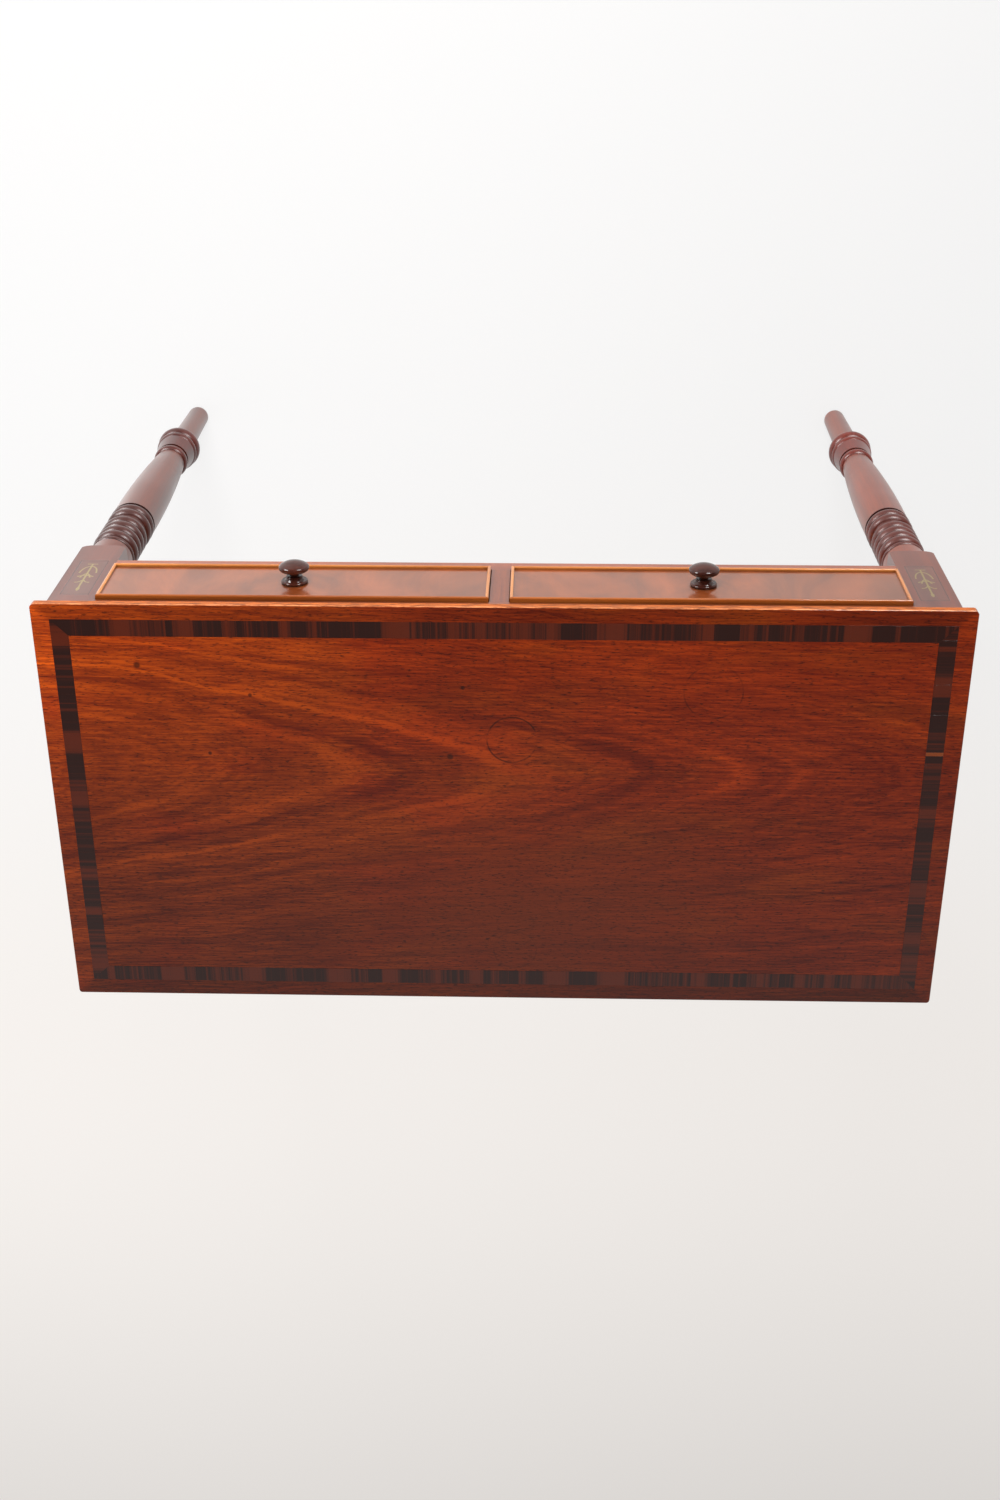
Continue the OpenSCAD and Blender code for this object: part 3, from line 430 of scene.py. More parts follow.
# Each change below runs from one value to another, with the strength or brightness at each
FLAME_BREAKS = (0.34, 0.56, 0.0, 1.0)
DARK_PATCHES = (0.45, 0.70, 0.0, 0.40)
RED_AREAS = (0.40, 0.65, 0.0, 0.62)
RED_LEAN = (-0.10, 0.28, 0.12, -0.10)
DULL_AREA = (0.12, 0.46, 0.75, 0.0)
LONG_BORDER = (-0.5, 0.5, 0.58, 0.72)
END_BORDER = (-0.5, 0.5, 0.92, 1.30)
# FRONT_CORNER is painted light on the front corner
FRONT_CORNER = (0.25, 0.95, 1.0, 1.55)
CHIPPED_EDGE = (0.36, 0.58, 0.35, 1.0)
CHIPPED_ARRIS = (0.42, 0.60, 0.15, 0.95)
TOP_PORES = (0.54, 0.70, 0.0, 0.75)
# Tint of the redder areas
RED_TINT = (1.0, 0.60, 0.8)
# Middle of the dull area at the back, and how much narrower it is from front to back
DULL_MIDDLE = (-0.03, 0.20, 0.0)
DULL_SHAPE = (1.0, 1.5, 0.0)
# Slant of the painted light on the front corner, and the blur between the border's sides and its ends
CORNER_SLANT = 2.2
MITRE_BLUR = 0.006
# Width of the rim in which the top's edges are worn
RIM = 0.003
# Depths under the top's surface between which its edges change, lower one first
LOWER_STAIN = (0.0009, 0.0004)
UPRIGHT_EDGE = (0.0012, 0.0003)
ARRIS_FOOT = (0.0024, 0.0014)
ARRIS_HEAD = (0.0006, 0.0001)
POLISH_EDGE = (0.0020, 0.0006)
# Strength of the varnish on the top's edges and on its surface
TOP_POLISH = (0.10, 0.90)
# Half width of the line of a cup's ring, where it is full and where it ends, and values that break it up
RING_LINE = (0.0003, 0.0013)
RING_BREAKS = (0.30, 0.60)
# Shares of a spot's radius at which it is full and at which it ends, and its darkness
SPOT_CORE = 0.9
SPOT_EDGE = 1.5
SPOT_DARKNESS = 0.75
# Depth of the top's pores and marks, and of its gentle swells
TOP_PORE_DEPTH = 0.00010
SWELL = 0.0006


def top_noise(r, along, across, upwards=1.0, **look):
    """A noise in the top with its waves per metre along the desk, across it and upwards."""
    return r.noise(r.stretched(r.place, (along, across, upwards)), **look)


def figured_wood(r, settings, fibre):
    """Colour of the top's wood: a figure that bows back from pointed tips, with redder and duller areas."""
    x, y, _ = r.split(r.place)
    drift = top_noise(r, 2.4, 5.0, detail=3.0, roughness=0.6)
    ragged = top_noise(r, 16.0, 240.0, detail=3.0, roughness=0.65)
    side = r.plus(y, settings.figure_y)
    side = r.plus(side, r.times(r.minus(drift, 0.5), FIGURE_WANDER))
    tip = settings.figure_tip
    away = r.math("SQRT", r.plus(r.times(side, side), tip ** 2))
    bow = r.times(away, r.plus(r.times(away, FIGURE_CURVE), FIGURE_SLOPE))
    bow = r.minus(bow, tip * (FIGURE_CURVE * tip + FIGURE_SLOPE) - FIGURE_SHIFT)
    line = r.plus(r.minus(x, bow), r.times(r.minus(ragged, 0.5), FIGURE_RAGGED))
    tone = r.times(fibre, FIBRE_SHARE)
    for along, across, part, detail, roughness, share in STREAKS:
        streak = r.joined(r.times(x, along), r.times(line, across), part)
        tone = r.plus(tone, r.times(r.noise(streak, detail=detail, roughness=roughness), share))
    fade = r.spread(top_noise(r, 7.0, 13.0), *FLAME_BREAKS)
    for place, width, strength in FLAMES:
        off = r.math("ABSOLUTE", r.minus(line, place))
        tone = r.plus(tone, r.times(r.spread(off, 0.0, width, strength, 0.0), fade))
    base = r.mix(r.spread(tone, *TOP_TONES), rgba(settings.dark), rgba(settings.light))
    patch = top_noise(r, 4.0, 9.0, detail=3.0)
    base = r.mix(r.spread(patch, *DARK_PATCHES), base, rgba(settings.dark))
    hue = r.plus(top_noise(r, 6.5, 15.6, 1.3, detail=3.0), r.spread(x, *RED_LEAN))
    base = r.mix(r.spread(hue, *RED_AREAS), base, rgba(RED_TINT), "MULTIPLY")
    behind = r.plus(r.distance(r.stretched(r.place, DULL_SHAPE), DULL_MIDDLE), r.times(patch, 0.25))
    return r.mix(r.spread(behind, *DULL_AREA), base, rgba(settings.dull))


def top_shading(r, settings, plan):
    """Painted light and shade on the top: paler towards the front and its front corner, lighter or darker
    in wide areas, and paler in the border at its ends.
    """
    x, y, _ = r.split(r.place)
    low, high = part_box("top_board")
    painted_light = r.spread(y, low.y, high.y, 1.0, settings.back_shade)
    corner = r.minus(x, r.times(y, CORNER_SLANT))
    painted_light = r.times(painted_light, r.spread(corner, *FRONT_CORNER))
    for cx, cy, reach, shade in SHADES:
        painted_light = r.times(painted_light, r.spread(r.distance(plan, (cx, cy, 0.0)), 0.0, reach, shade, 1.0))
    low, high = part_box("front_banding")[0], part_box("back_banding")[1]
    over_x, over_y = r.beyond(x, low.x, high.x), r.beyond(y, low.y, high.y)
    border = r.math("GREATER_THAN", r.larger(over_x, over_y), 0.0)
    at_end = r.spread(r.minus(over_x, over_y), -MITRE_BLUR, MITRE_BLUR)
    strips = r.between(at_end, r.spread(x, *LONG_BORDER), r.spread(x, *END_BORDER))
    return r.times(painted_light, r.between(border, 1.0, strips))


def worn_edges(r, settings, base):
    """The colour with the top's edges worn and chipped and a painted highlight along the arris, and the
    strength of its varnish.
    """
    x, y, z = r.split(r.place)
    low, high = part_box("top_board")

    def rise(depths, under, over):
        """A value that changes between two depths under the top's surface."""
        return r.spread(z, high.z - depths[0], high.z - depths[1], under, over)

    outside = r.larger(r.beyond(x, low.x, high.x), r.beyond(y, low.y, high.y))
    rim = r.math("GREATER_THAN", outside, -RIM)
    base = r.mix(rise(LOWER_STAIN, 0.9, 0.0), base, rgba(settings.stain))
    chips = top_noise(r, 70.0, 70.0, 420.0, detail=4.0, roughness=0.7)
    upright = r.minus(rim, r.times(rim, rise(UPRIGHT_EDGE, 0.0, 1.0)))
    upright = r.times(upright, r.spread(chips, *CHIPPED_EDGE))
    base = r.mix(upright, base, rgba(settings.worn))
    # Painted highlight along the arris, broken up by the chips
    arris = r.times(rise(ARRIS_FOOT, 0.0, 1.0), rise(ARRIS_HEAD, 1.0, 0.0))
    arris = r.times(r.times(arris, rim), r.spread(chips, *CHIPPED_ARRIS))
    base = r.mix(arris, base, rgba(settings.arris_highlight))
    return base, rise(POLISH_EDGE, *TOP_POLISH)


def cup_marks(r, plan):
    """Strength of the rings that cups have left, and of the dark spots."""
    worn = r.noise(r.place, detail=3.0, scale=60.0)
    marks = 0.0
    for cx, cy, radius, strength in RING_MARKS:
        off = r.math("ABSOLUTE", r.minus(r.distance(plan, (cx, cy, 0.0)), radius))
        ring = r.times(r.spread(off, *RING_LINE, strength, 0.0), r.spread(worn, *RING_BREAKS))
        marks = r.larger(marks, ring)
    for cx, cy, radius in SPOTS:
        core, edge = radius * SPOT_CORE, radius * SPOT_EDGE
        away = r.plus(r.distance(plan, (cx, cy, 0.0)), r.times(worn, core))
        marks = r.larger(marks, r.spread(away, core, edge, SPOT_DARKNESS, 0.0))
    return marks


def top_material(settings):
    """One wide mahogany board with a pointed figure, painted light and shade, worn edges, a painted
    highlight on the arris, cup rings and spots.
    """
    r = Recipe("mahogany_top")
    x, y, _ = r.split(r.place)
    plan = r.joined(x, y, 0.0)
    fibre = top_noise(r, 24.0, 520.0, detail=3.0, roughness=0.75)
    pore = top_noise(r, 170.0, 900.0, roughness=0.6)
    base = figured_wood(r, settings, fibre)
    specks = r.spread(pore, *TOP_PORES)
    base = r.mix(specks, base, rgba(settings.stain))
    # The top's colour is multiplied by its painted light and shade
    painted_light = top_shading(r, settings, plan)
    base = r.mix(1.0, base, r.joined(painted_light, painted_light, painted_light), "MULTIPLY")
    base, polish = worn_edges(r, settings, base)
    marks = cup_marks(r, plan)
    base = r.mix(marks, base, rgba(settings.stain))
    roughness = r.varied(r.noise(r.place, detail=3.0, scale=7.0), *TOP_WOOD)
    normal = r.bump(r.minus(r.times(fibre, 0.5), r.plus(specks, marks)), TOP_PORE_DEPTH, 0.6)
    normal = r.bump(r.noise(r.place, scale=16.0), SWELL, 0.5, normal)
    return r.finish(base, roughness, normal, coat=polish, specular=0.1)


# Waves per metre along a strip of banding of its stripes and of the drift of its colour, and of its flecks
STRIPE_WAVES = 240.0
BANDING_DRIFT = 34.0
FLECK_WAVES = (900.0, 900.0, 40.0)
# Weight of the stripes beside that of a block's own tone, and how the drift adds to them
STRIPE_WEIGHT = 1.10
TONE_WEIGHT = 0.75
COLOUR_DRIFT = (0.45, 0.74, 0.0, 0.62)
# Values between which the banding goes from black to red, and tones between which it turns pale
BLACK_TO_RED = (0.20, 0.74)
RED_TO_PALE = (0.80, 0.95)
# Strength of the flecks, and their depth
FLECKS = (0.62, 0.75, 0.0, 0.3)
FLECK_DEPTH = 0.00008
# Width of a block as a share of the mean width: the least, what chance adds, and how seldom it adds all
LEAST_BLOCK = 0.35
WIDER_BLOCK = 1.5
SELDOM_WIDE = 1.6
# The shortest rest of a strip that makes a block of its own, as a share of the mean width
LAST_BLOCK = 0.3
# Tone of the darkest block, what chance adds to it, and the tone of the pale strip
DARKEST_BLOCK = 0.16
PALER_BLOCK = 0.46
PALE_TONE = 1.0
# Place along the left banding of its pale strip, and the strip's width
PALE_STRIP = -0.066
PALE_WIDTH = 0.004
# Widest joints between blocks and at a strip's outer edge, as shares of the one at its inner edge
BLOCK_JOINT = 0.1
OUTER_JOINT = 0.2
# Space under the blocks of banding, and how much their upper edges are eased and their heights differ
BLOCK_BED = 0.0001
BLOCK_EASE = 0.00003


def banding_material(settings):
    """Dark, streaky cross-banding; each block carries its own tone."""
    r = Recipe("banding_wood")
    tone = r.node("ShaderNodeAttribute", {}, attribute_name="tone").outputs["Fac"]
    run = r.node("ShaderNodeAttribute", {}, attribute_name="run").outputs["Fac"]
    stripe = r.noise_line(run, detail=3.0, roughness=0.65, scale=STRIPE_WAVES)
    drift = r.spread(r.noise_line(run, scale=BANDING_DRIFT), *COLOUR_DRIFT)
    value = r.plus(r.times(tone, TONE_WEIGHT), drift)
    value = r.plus(value, r.times(r.minus(stripe, 0.5), STRIPE_WEIGHT))
    base = r.mix(r.spread(value, *BLACK_TO_RED), rgba(settings.band_black), rgba(settings.band_red))
    base = r.mix(r.spread(tone, *RED_TO_PALE), base, rgba(settings.band_pale))
    specks = r.spread(r.noise(r.stretched(r.place, FLECK_WAVES), detail=1.0), *FLECKS)
    base = r.mix(specks, base, rgba(settings.stain))
    roughness = r.varied(r.noise(r.place, scale=30.0), *TOP_WOOD)
    normal = r.bump(r.minus(stripe, specks), FLECK_DEPTH, 0.6)
    return r.finish(base, roughness, normal, coat=0.9, specular=0.2)


def clipped(outline, keep):
    """The part of a plan outline where keep(point) is positive; keep is linear."""
    result = []
    for here, there in zip(outline, outline[1:] + outline[:1]):
        a, b = keep(here), keep(there)
        if a >= 0:
            result.append(here)
        if a * b < 0:
            share = a / (a - b)
            result.append((here[0] + share * (there[0] - here[0]), here[1] + share * (there[1] - here[1])))
    return result


def banding_block(mesh, plan, levels, spot, tone, shift):
    """Adds a closed block over a plan outline; levels are the height and inset of each ring of points."""
    tone_layer = mesh.faces.layers.float["tone"]
    run_layer = mesh.verts.layers.float["run"]
    centre_s = sum(p[0] for p in plan) / len(plan)
    centre_t = sum(p[1] for p in plan) / len(plan)
    rings = []
    for level, inset in levels:
        ring = []
        for s, t in plan:
            s += math.copysign(inset, centre_s - s)
            t += math.copysign(inset, centre_t - t)
            vertex = mesh.verts.new(spot(s, t, level))
            vertex[run_layer] = s + shift
            ring.append(vertex)
        rings.append(ring)
    faces = [mesh.faces.new(rings[0][::-1]), mesh.faces.new(rings[-1])]
    for lower, upper in zip(rings, rings[1:]):
        for k in range(len(plan)):
            m = (k + 1) % len(plan)
            faces.append(mesh.faces.new((lower[k], lower[m], upper[m], upper[k])))
    for face in faces:
        face[tone_layer] = tone


def banding_strip(node, dice, settings):
    """Builds one strip of banding from small blocks laid side by side, mitred at both ends."""
    low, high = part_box(node)
    lengthwise = high.x - low.x > high.y - low.y
    half = max(high.x - low.x, high.y - low.y) / 2
    width = min(high.x - low.x, high.y - low.y)
    middle = (low + high) / 2
    outward = -1 if (middle.y if lengthwise else middle.x) < 0 else 1

    def spot(s, t, level):
        """The place of a point s along the strip and t in from its outer edge."""
        edge = outward * (width / 2 - t)
        if lengthwise:
            return (middle.x + s, middle.y + edge, level)
        return (middle.x + edge, middle.y + s, level)

    mesh = bmesh.new()
    mesh.faces.layers.float.new("tone")
    mesh.verts.layers.float.new("run")
    shift = 10.0 * dice.random()
    pale = PALE_STRIP - middle.y if node == "left_banding" else half
    start = -half
    while start < half:
        block = settings.band_block * (LEAST_BLOCK + WIDER_BLOCK * dice.random() ** SELDOM_WIDE)
        end = min(half, start + block)
        if half - end < settings.band_block * LAST_BLOCK:
            end = half
        tone = DARKEST_BLOCK + PALER_BLOCK * dice.random()
        if start < pale < end:
            end = pale
        elif start == pale:
            end, tone = pale + PALE_WIDTH, PALE_TONE
        joint = settings.band_gap * dice.random() * BLOCK_JOINT
        inner = width - settings.band_gap * dice.random()
        outer = settings.band_gap * dice.random() * OUTER_JOINT
        plan = [(start + joint, outer), (end, outer), (end, inner), (start + joint, inner)]
        plan = clipped(plan, lambda p: p[0] + half - p[1])
        plan = clipped(plan, lambda p: half - p[1] - p[0])
        if len(plan) > 2:
            upper = high.z - BLOCK_EASE * dice.random()
            levels = ((low.z + BLOCK_BED, 0.0), (upper - BLOCK_EASE, 0.0), (upper, BLOCK_EASE))
            banding_block(mesh, plan, levels, spot, tone, shift)
        start = end
    bmesh.ops.recalc_face_normals(mesh, faces=mesh.faces)
    data = bpy.data.meshes.new(node + "_blocks")
    mesh.to_mesh(data)
    mesh.free()
    piece = bpy.data.objects.new(node + "_blocks", data)
    bpy.context.scene.collection.objects.link(piece)
    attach(piece, "carcase")
    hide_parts(node)
    return piece


class DESK_OT_top(bpy.types.Operator):
    """Polishes the top board and lays its cross-banding"""

    bl_idname = "writing_desk.top"
    bl_label = "Top and Banding"

    def execute(self, context):
        settings = context.scene.desk_top
        dress(["top_board"], top_material(settings))
        dice = random.Random(settings.band_seed)
        material = banding_material(settings)
        for edge in ("front", "back", "left", "right"):
            banding_strip(edge + "_banding", dice, settings).data.materials.append(material)
        return {"FINISHED"}


# FRAME, LEGS AND INLAY

# Heights of the rings and of the cup with its collars, and the tint of the painted shade on them, which
# also reddens them
SHADED_TURNINGS = ((0.425, 0.533, (0.43, 0.28, 0.28)), (0.135, 0.204, (0.70, 0.38, 0.36)))
# Heights of the block of the redder leg, and its tint
WARM_BLOCK = (0.556, 0.728, (0.68, 0.72, 0.78))
LEG_LOOK = {"pores": 0.5, "dirt_and_shade": 0.85, "calm": 0.45, "relief": 0.4, "varnish": LEG_ROUGHNESS}
PANEL_LOOK = {"pores": 0.5, "calm": 0.3, "relief": 0.6}
BARE_LOOK = {"pores": 0.5, "dirt_and_shade": 0.5, "stain": (0.10, 0.05, 0.02)}
# Brightness of the painted light on the rail under the drawers, and of the dark grain in the inlay
LIT_RAIL = 1.7
INLAY_GRAIN = 0.7
RUST = (0.09, 0.035, 0.018)


class DESK_OT_legs(bpy.types.Operator):
    """Polishes the turned legs"""

    bl_idname = "writing_desk.legs"
    bl_label = "Legs"

    def execute(self, context):
        settings = context.scene.desk_body
        tones = (settings.leg_light, settings.leg_dark)
        leg = wood("mahogany_leg", "Z", *tones, VARNISH, tints=SHADED_TURNINGS, **LEG_LOOK)
        dress(["front_right_leg", "back_left_leg", "back_right_leg"], leg)
        warm = [scaled(tone, settings.leg_warm) for tone in tones]
        tints = SHADED_TURNINGS + (WARM_BLOCK,)
        dress(["front_left_leg"], wood("mahogany_warm_leg", "Z", *warm, VARNISH, tints=tints, **LEG_LOOK))
        return {"FINISHED"}


class DESK_OT_frieze(bpy.types.Operator):
    """Polishes the rails and the divider"""

    bl_idname = "writing_desk.frieze"
    bl_label = "Frieze"

    def execute(self, context):
        settings = context.scene.desk_body
        tones = (settings.frame_light, settings.frame_dark)
        # The rails under the top get strong corner darkening: painted shade under the top
        rail = wood("mahogany_rail", "X", *tones, VARNISH, dirt_and_shade=0.9, relief=0.4)
        dress(["front_top_rail", "back_rail"], rail)
        # Painted light: the lower rail is a brighter copy of the rail wood
        painted_light = [scaled(tone, LIT_RAIL) for tone in tones]
        lower_rail = wood("mahogany_faded_rail", "X", *painted_light, VARNISH, dirt_and_shade=0.3, relief=0.4)
        dress(["front_bottom_rail"], lower_rail)
        side_rail = wood("mahogany_side", "Y", *tones, VARNISH, pores=0.6, dirt_and_shade=0.5, relief=0.25)
        dress([side + "_side_rail" for side in SIDES], side_rail)
        dress(["front_divider"], wood("mahogany_divider", "Z", *tones, VARNISH, dirt_and_shade=0.5, relief=0.4))
        return {"FINISHED"}


class DESK_OT_block_inlay(bpy.types.Operator):
    """Finishes the block panels and the scroll inlay"""

    bl_idname = "writing_desk.block_inlay"
    bl_label = "Block Inlay"

    def execute(self, context):
        settings = context.scene.desk_body
        tones = (settings.panel_light, settings.panel_dark)
        warm = [tinted(scaled(tone, settings.leg_warm), WARM_BLOCK[2]) for tone in tones]
        for side, name, pair in (("right", "panel_wood", tones), ("left", "panel_warm_wood", warm)):
            panel = side + "_block_panel"
            dress([panel], wood(name, "Z", *pair, VARNISH, seam=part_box(panel), **PANEL_LOOK))
        grain = (settings.inlay, scaled(settings.inlay, INLAY_GRAIN))
        dress([side + "_scroll_inlay" for side in SIDES], wood("inlay_wood", "Z", *grain, 0.5, pores=0.3))
        return {"FINISHED"}


class DESK_OT_inner_wood(bpy.types.Operator):
    """Finishes the unpolished wood inside"""

    bl_idname = "writing_desk.inner_wood"
    bl_label = "Inner Wood"

    def execute(self, context):
        settings = context.scene.desk_body
        tones = (settings.inner_light, settings.inner_dark)
        across = wood("plain_wood_across", "X", *tones, 0.0, **BARE_LOOK)
        deep = wood("plain_wood_deep", "Y", *tones, 0.0, **BARE_LOOK)
        dress(["drawer_stops", "glue_blocks"], across)
        for place in ("left", "right", "middle"):
            dress([place + "_" + kind for kind in ("runner", "guide", "kicker")], deep)
        for drawer in SIDES:
            dress([drawer + "_drawer_" + kind for kind in ("front", "back", "bottom")], across)
            dress([drawer + "_drawer_" + kind for kind in ("left_side", "right_side")], deep)
        return {"FINISHED"}


class DESK_OT_fixings(bpy.types.Operator):
    """Finishes the screws and nails"""

    bl_idname = "writing_desk.fixings"
    bl_label = "Screws and Nails"

    def execute(self, context):
        settings = context.scene.desk_body
        r = Recipe("dull_iron")
        spots = r.noise(r.place, detail=4.0, scale=420.0)
        base = r.mix(r.spread(spots, 0.45, 0.65), rgba(settings.iron), rgba(RUST))
        iron = r.finish(base, r.varied(spots, 0.45, 0.75), r.bump(spots, 0.0001), metallic=0.8)
        dress(["top_screws", "left_bottom_nails", "right_bottom_nails"], iron)
        return {"FINISHED"}


# DRAWERS

VENEER_LOOK = {
    "pores": 0.04, "flame": 0.68, "dirt_and_shade": 0.8, "calm": 0.34, "relief": 0.2,
    "specular": 1.0, "sheen_tint": (1.0, 0.48, 0.27), "ior": 1.85,
}
BEAD_LOOK = {"pores": 0.6, "dirt_and_shade": 0.6}
KNOB_LOOK = {"pores": 0.4, "dirt_and_shade": 0.4, "stain": (0.008, 0.004, 0.003), "specular": 0.04}
# Tint of painted shade on the upper beads under the top's edge
SHADED_BEAD = (0.62, 0.45, 0.30)


class DESK_OT_drawers(bpy.types.Operator):
    """Polishes the drawer fronts and their cockbeads"""

    bl_idname = "writing_desk.drawers"
    bl_label = "Drawer Fronts"

    def execute(self, context):
        settings = context.scene.desk_drawers
        veneer = wood("flame_veneer", "Z", settings.flame_light, settings.flame_dark, 0.9, **VENEER_LOOK)
        # Lighter wood with a painted highlight on the cockbeads' noses
        tones = (settings.bead_light, settings.bead_dark)
        across = wood("cockbead_across", "X", *tones, VARNISH, **BEAD_LOOK)
        darker = [tinted(tone, SHADED_BEAD) for tone in tones]
        upper = wood("cockbead_upper", "X", *darker, VARNISH, **BEAD_LOOK)
        upright = wood("cockbead_upright", "Z", *tones, VARNISH, **BEAD_LOOK)
        for drawer in SIDES:
            dress([drawer + "_drawer_veneer"], veneer)
            dress([drawer + "_cockbead_bottom"], across)
            dress([drawer + "_cockbead_top"], upper)
            dress([drawer + "_cockbead_" + edge for edge in SIDES], upright)
        return {"FINISHED"}


class DESK_OT_knobs(bpy.types.Operator):
    """Polishes the knobs"""

    bl_idname = "writing_desk.knobs"
    bl_label = "Knobs"

    def execute(self, context):
        settings = context.scene.desk_drawers
        knob = wood("knob_wood", "X", settings.knob_light, settings.knob_dark, 0.85, **KNOB_LOOK)
        dress([side + "_knob" for side in SIDES], knob)
        return {"FINISHED"}


# STUDIO

# The middle of the knobs, which the two mirrored lamps face
KNOBS = (0.0, -0.25, 0.65)
LAMPS = (
    # Name, place, what it faces, size, the setting of its power, and whether it shows only in the polish
    ("key_lamp", (0.25, -1.75, 1.42), (0.05, -0.1, 0.65), 1.0, "key_power", False),
    ("fill_lamp", (2.2, 0.6, 2.0), (0.0, 0.0, 0.6), 1.6, "fill_power", False),
    ("left_window", (1.58, -1.70, 1.09), KNOBS, 0.8, "window_power", True),
    ("right_window", (-0.97, -2.12, 1.31), KNOBS, 0.8, "window_power", True),
)
# Brightness of the surroundings where they are seen
BACKDROP = 0.93
# What polish mirrors of the surroundings: each change runs from one direction to another, upwards or
# backwards, with the brightness at each
AHEAD = (-0.02, 0.10, 0.40, 0.05)
BESIDE = (0.05, 0.30, 1.0, 0.05)
BESIDE_BACK = (-0.5, 0.1, 0.0, 1.0)
BEHIND = (0.33, 0.60, 0.03, 0.42)
# Painted light on the floor: its brightness falls off, each change running from one place to another, in
# metres, with the value at each
FLOOR_BACK = (0.9, 2.3, 0.985, 0.75)
FLOOR_ACROSS = (-1.0, 0.8, 0.93, 1.02)
# The same as polish mirrors it, painted brightness that shows only in reflections: along the desk, then
# what is added beside and before the leg on the right
MIRRORED_ACROSS = (-0.9, 0.9, 0.72, 0.97)
BESIDE_LEG = (0.55, 0.64, 0.0, 0.27)
BEFORE_LEG = (-0.42, -0.34, 0.0, 0.40)
BEFORE_LEG_ACROSS = (0.40, 0.46, 0.0, 1.0)
# Tint of the floor's brightness behind the desk, and where it sets in
WARM_PAPER = (1.0, 0.957, 0.920)
WARM_BACK = (-0.2, 0.9, 0.0, 1.0)
# How much of the floor is plain brightness where it is seen, and half of the floor's width
FLOOR_GLOW = 0.80
FLOOR_SIZE = 9.0
# Width of the camera's sensor in millimetres, and the nearest place that it sees, in metres
SENSOR = 36.0
NEAREST = 0.05


def studio_world(settings):
    """Soft white surroundings, which polish mirrors bright at eye level and behind, and dark overhead."""
    r = Recipe("studio_world", bpy.data.worlds)
    bpy.context.scene.world = r.owner
    direction = r.node("ShaderNodeTexCoord", {}).outputs["Generated"]
    _, y, z = r.split(direction)
    beside = r.times(r.spread(z, *BESIDE), r.spread(y, *BESIDE_BACK))
    level = r.larger(r.larger(r.spread(z, *AHEAD), beside), r.spread(y, *BEHIND))
    rays = r.node("ShaderNodeLightPath", {}).outputs
    soft = r.between(rays["Is Glossy Ray"], settings.world_light, level)
    seen = r.larger(rays["Is Camera Ray"], rays["Is Transmission Ray"])
    strength = r.between(seen, soft, BACKDROP)
    background = r.node("ShaderNodeBackground", {"Color": rgba(WHITE), "Strength": strength})
    r.node("ShaderNodeOutputWorld", {"Surface": background.outputs[0]})


def floor_material(settings):
    """Pale paper that shows near white to the camera, with painted light falling off across it, and glows
    in polish with painted brightness for reflections; it keeps the shadow.
    """
    r = Recipe("floor_paper")
    x, y, _ = r.split(r.place)
    rays = r.node("ShaderNodeLightPath", {}).outputs
    polish = rays["Is Glossy Ray"]
    shown = r.larger(rays["Is Camera Ray"], r.larger(polish, rays["Is Transmission Ray"]))
    paper = r.node("ShaderNodeBsdfDiffuse", {"Color": rgba(settings.floor)}).outputs[0]
    # Painted light: the floor's glow falls off towards the back and across
    level = r.times(r.spread(y, *FLOOR_BACK), r.spread(x, *FLOOR_ACROSS))
    # Painted brightness that only polish mirrors
    mirrored = r.plus(r.spread(x, *MIRRORED_ACROSS), r.spread(x, *BESIDE_LEG))
    before_leg = r.times(r.spread(x, *BEFORE_LEG_ACROSS), r.spread(y, *BEFORE_LEG))
    mirrored = r.plus(mirrored, before_leg)
    strength = r.between(polish, level, mirrored)
    tint = r.mix(r.spread(y, *WARM_BACK), rgba(WHITE), rgba(WARM_PAPER))
    glow = r.node("ShaderNodeEmission", {"Color": tint, "Strength": strength}).outputs[0]
    both = r.node("ShaderNodeMixShader", {0: r.times(shown, FLOOR_GLOW), 1: paper, 2: glow}).outputs[0]
    r.node("ShaderNodeOutputMaterial", {"Surface": both})
    return r.owner


def studio_floor(settings):
    """A plain pale floor."""
    mesh = bmesh.new()
    bmesh.ops.create_grid(mesh, x_segments=1, y_segments=1, size=FLOOR_SIZE)
    data = bpy.data.meshes.new("studio_floor")
    mesh.to_mesh(data)
    mesh.free()
    floor = bpy.data.objects.new("studio_floor", data)
    bpy.context.scene.collection.objects.link(floor)
    data.materials.append(floor_material(settings))


def soft_lamp(name, place, target, size, power, mirrored):
    """A large square lamp that faces the target; a mirrored one shows only as a highlight in the polish."""
    lamp = bpy.data.lights.new(name, "AREA")
    lamp.shape = "SQUARE"
    lamp.size = size
    lamp.energy = power
    holder = bpy.data.objects.new(name, lamp)
    bpy.context.scene.collection.objects.link(holder)
    holder.visible_camera = False
    holder.visible_diffuse = not mirrored
    holder.visible_glossy = mirrored
    holder.location = place
    holder.rotation_euler = (Vector(target) - Vector(place)).to_track_quat("-Z", "Y").to_euler()


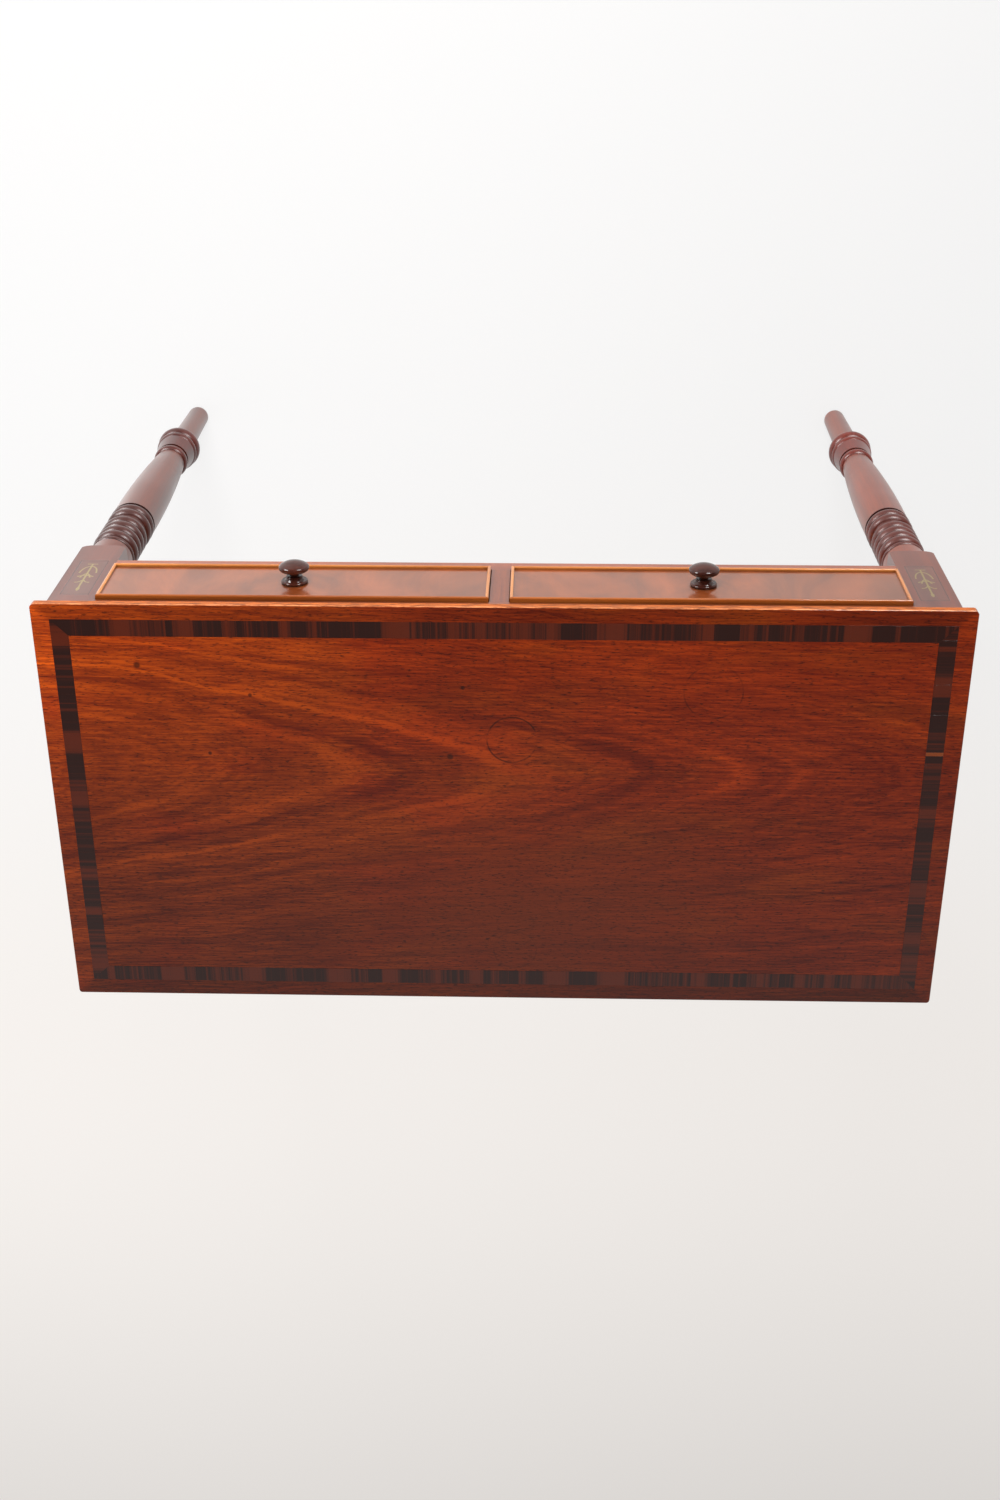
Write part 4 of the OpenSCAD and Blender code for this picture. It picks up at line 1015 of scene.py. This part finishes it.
def studio_camera(settings):
    """A camera at the photograph's viewing angle."""
    lens = bpy.data.cameras.new("studio_camera")
    lens.sensor_width = SENSOR
    lens.lens = settings.lens
    lens.clip_start = NEAREST
    camera = bpy.data.objects.new("studio_camera", lens)
    bpy.context.scene.collection.objects.link(camera)
    camera.location = settings.camera_place
    camera.rotation_euler = settings.camera_turn
    bpy.context.scene.camera = camera


class DESK_OT_studio(bpy.types.Operator):
    """Sets up the floor, the lights and the camera"""

    bl_idname = "writing_desk.studio"
    bl_label = "Studio"

    def execute(self, context):
        settings = context.scene.desk_studio
        context.scene.view_settings.view_transform = "Standard"
        studio_world(settings)
        studio_floor(settings)
        for name, place, target, size, power, mirrored in LAMPS:
            soft_lamp(name, place, target, size, getattr(settings, power), mirrored)
        studio_camera(settings)
        return {"FINISHED"}


STEPS = (
    DESK_OT_studio,
    DESK_OT_top,
    DESK_OT_legs,
    DESK_OT_frieze,
    DESK_OT_block_inlay,
    DESK_OT_inner_wood,
    DESK_OT_fixings,
    DESK_OT_drawers,
    DESK_OT_knobs,
)


class DESK_PT_panel(bpy.types.Panel):
    """Lists the steps that finish the desk"""

    bl_idname = "DESK_PT_panel"
    bl_label = "Writing Desk"
    bl_space_type = "VIEW_3D"
    bl_region_type = "UI"
    bl_category = "Writing Desk"

    def draw(self, context):
        for step in STEPS:
            self.layout.operator(step.bl_idname, text=step.bl_label)
        for key, _group in SETTINGS:
            box = self.layout.box()
            settings = getattr(context.scene, key)
            for name in settings.bl_rna.properties.keys():
                if name not in ("rna_type", "name"):
                    box.prop(settings, name)


def register():
    for key, group in SETTINGS:
        bpy.utils.register_class(group)
        setattr(bpy.types.Scene, key, PointerProperty(type=group))
    for step in STEPS:
        bpy.utils.register_class(step)
    bpy.utils.register_class(DESK_PT_panel)


def unregister():
    bpy.utils.unregister_class(DESK_PT_panel)
    for step in reversed(STEPS):
        bpy.utils.unregister_class(step)
    for key, group in reversed(SETTINGS):
        delattr(bpy.types.Scene, key)
        bpy.utils.unregister_class(group)


def main():
    register()
    for step in STEPS:
        group, name = step.bl_idname.split(".")
        getattr(getattr(bpy.ops, group), name)()


if __name__ == "__main__":
    main()
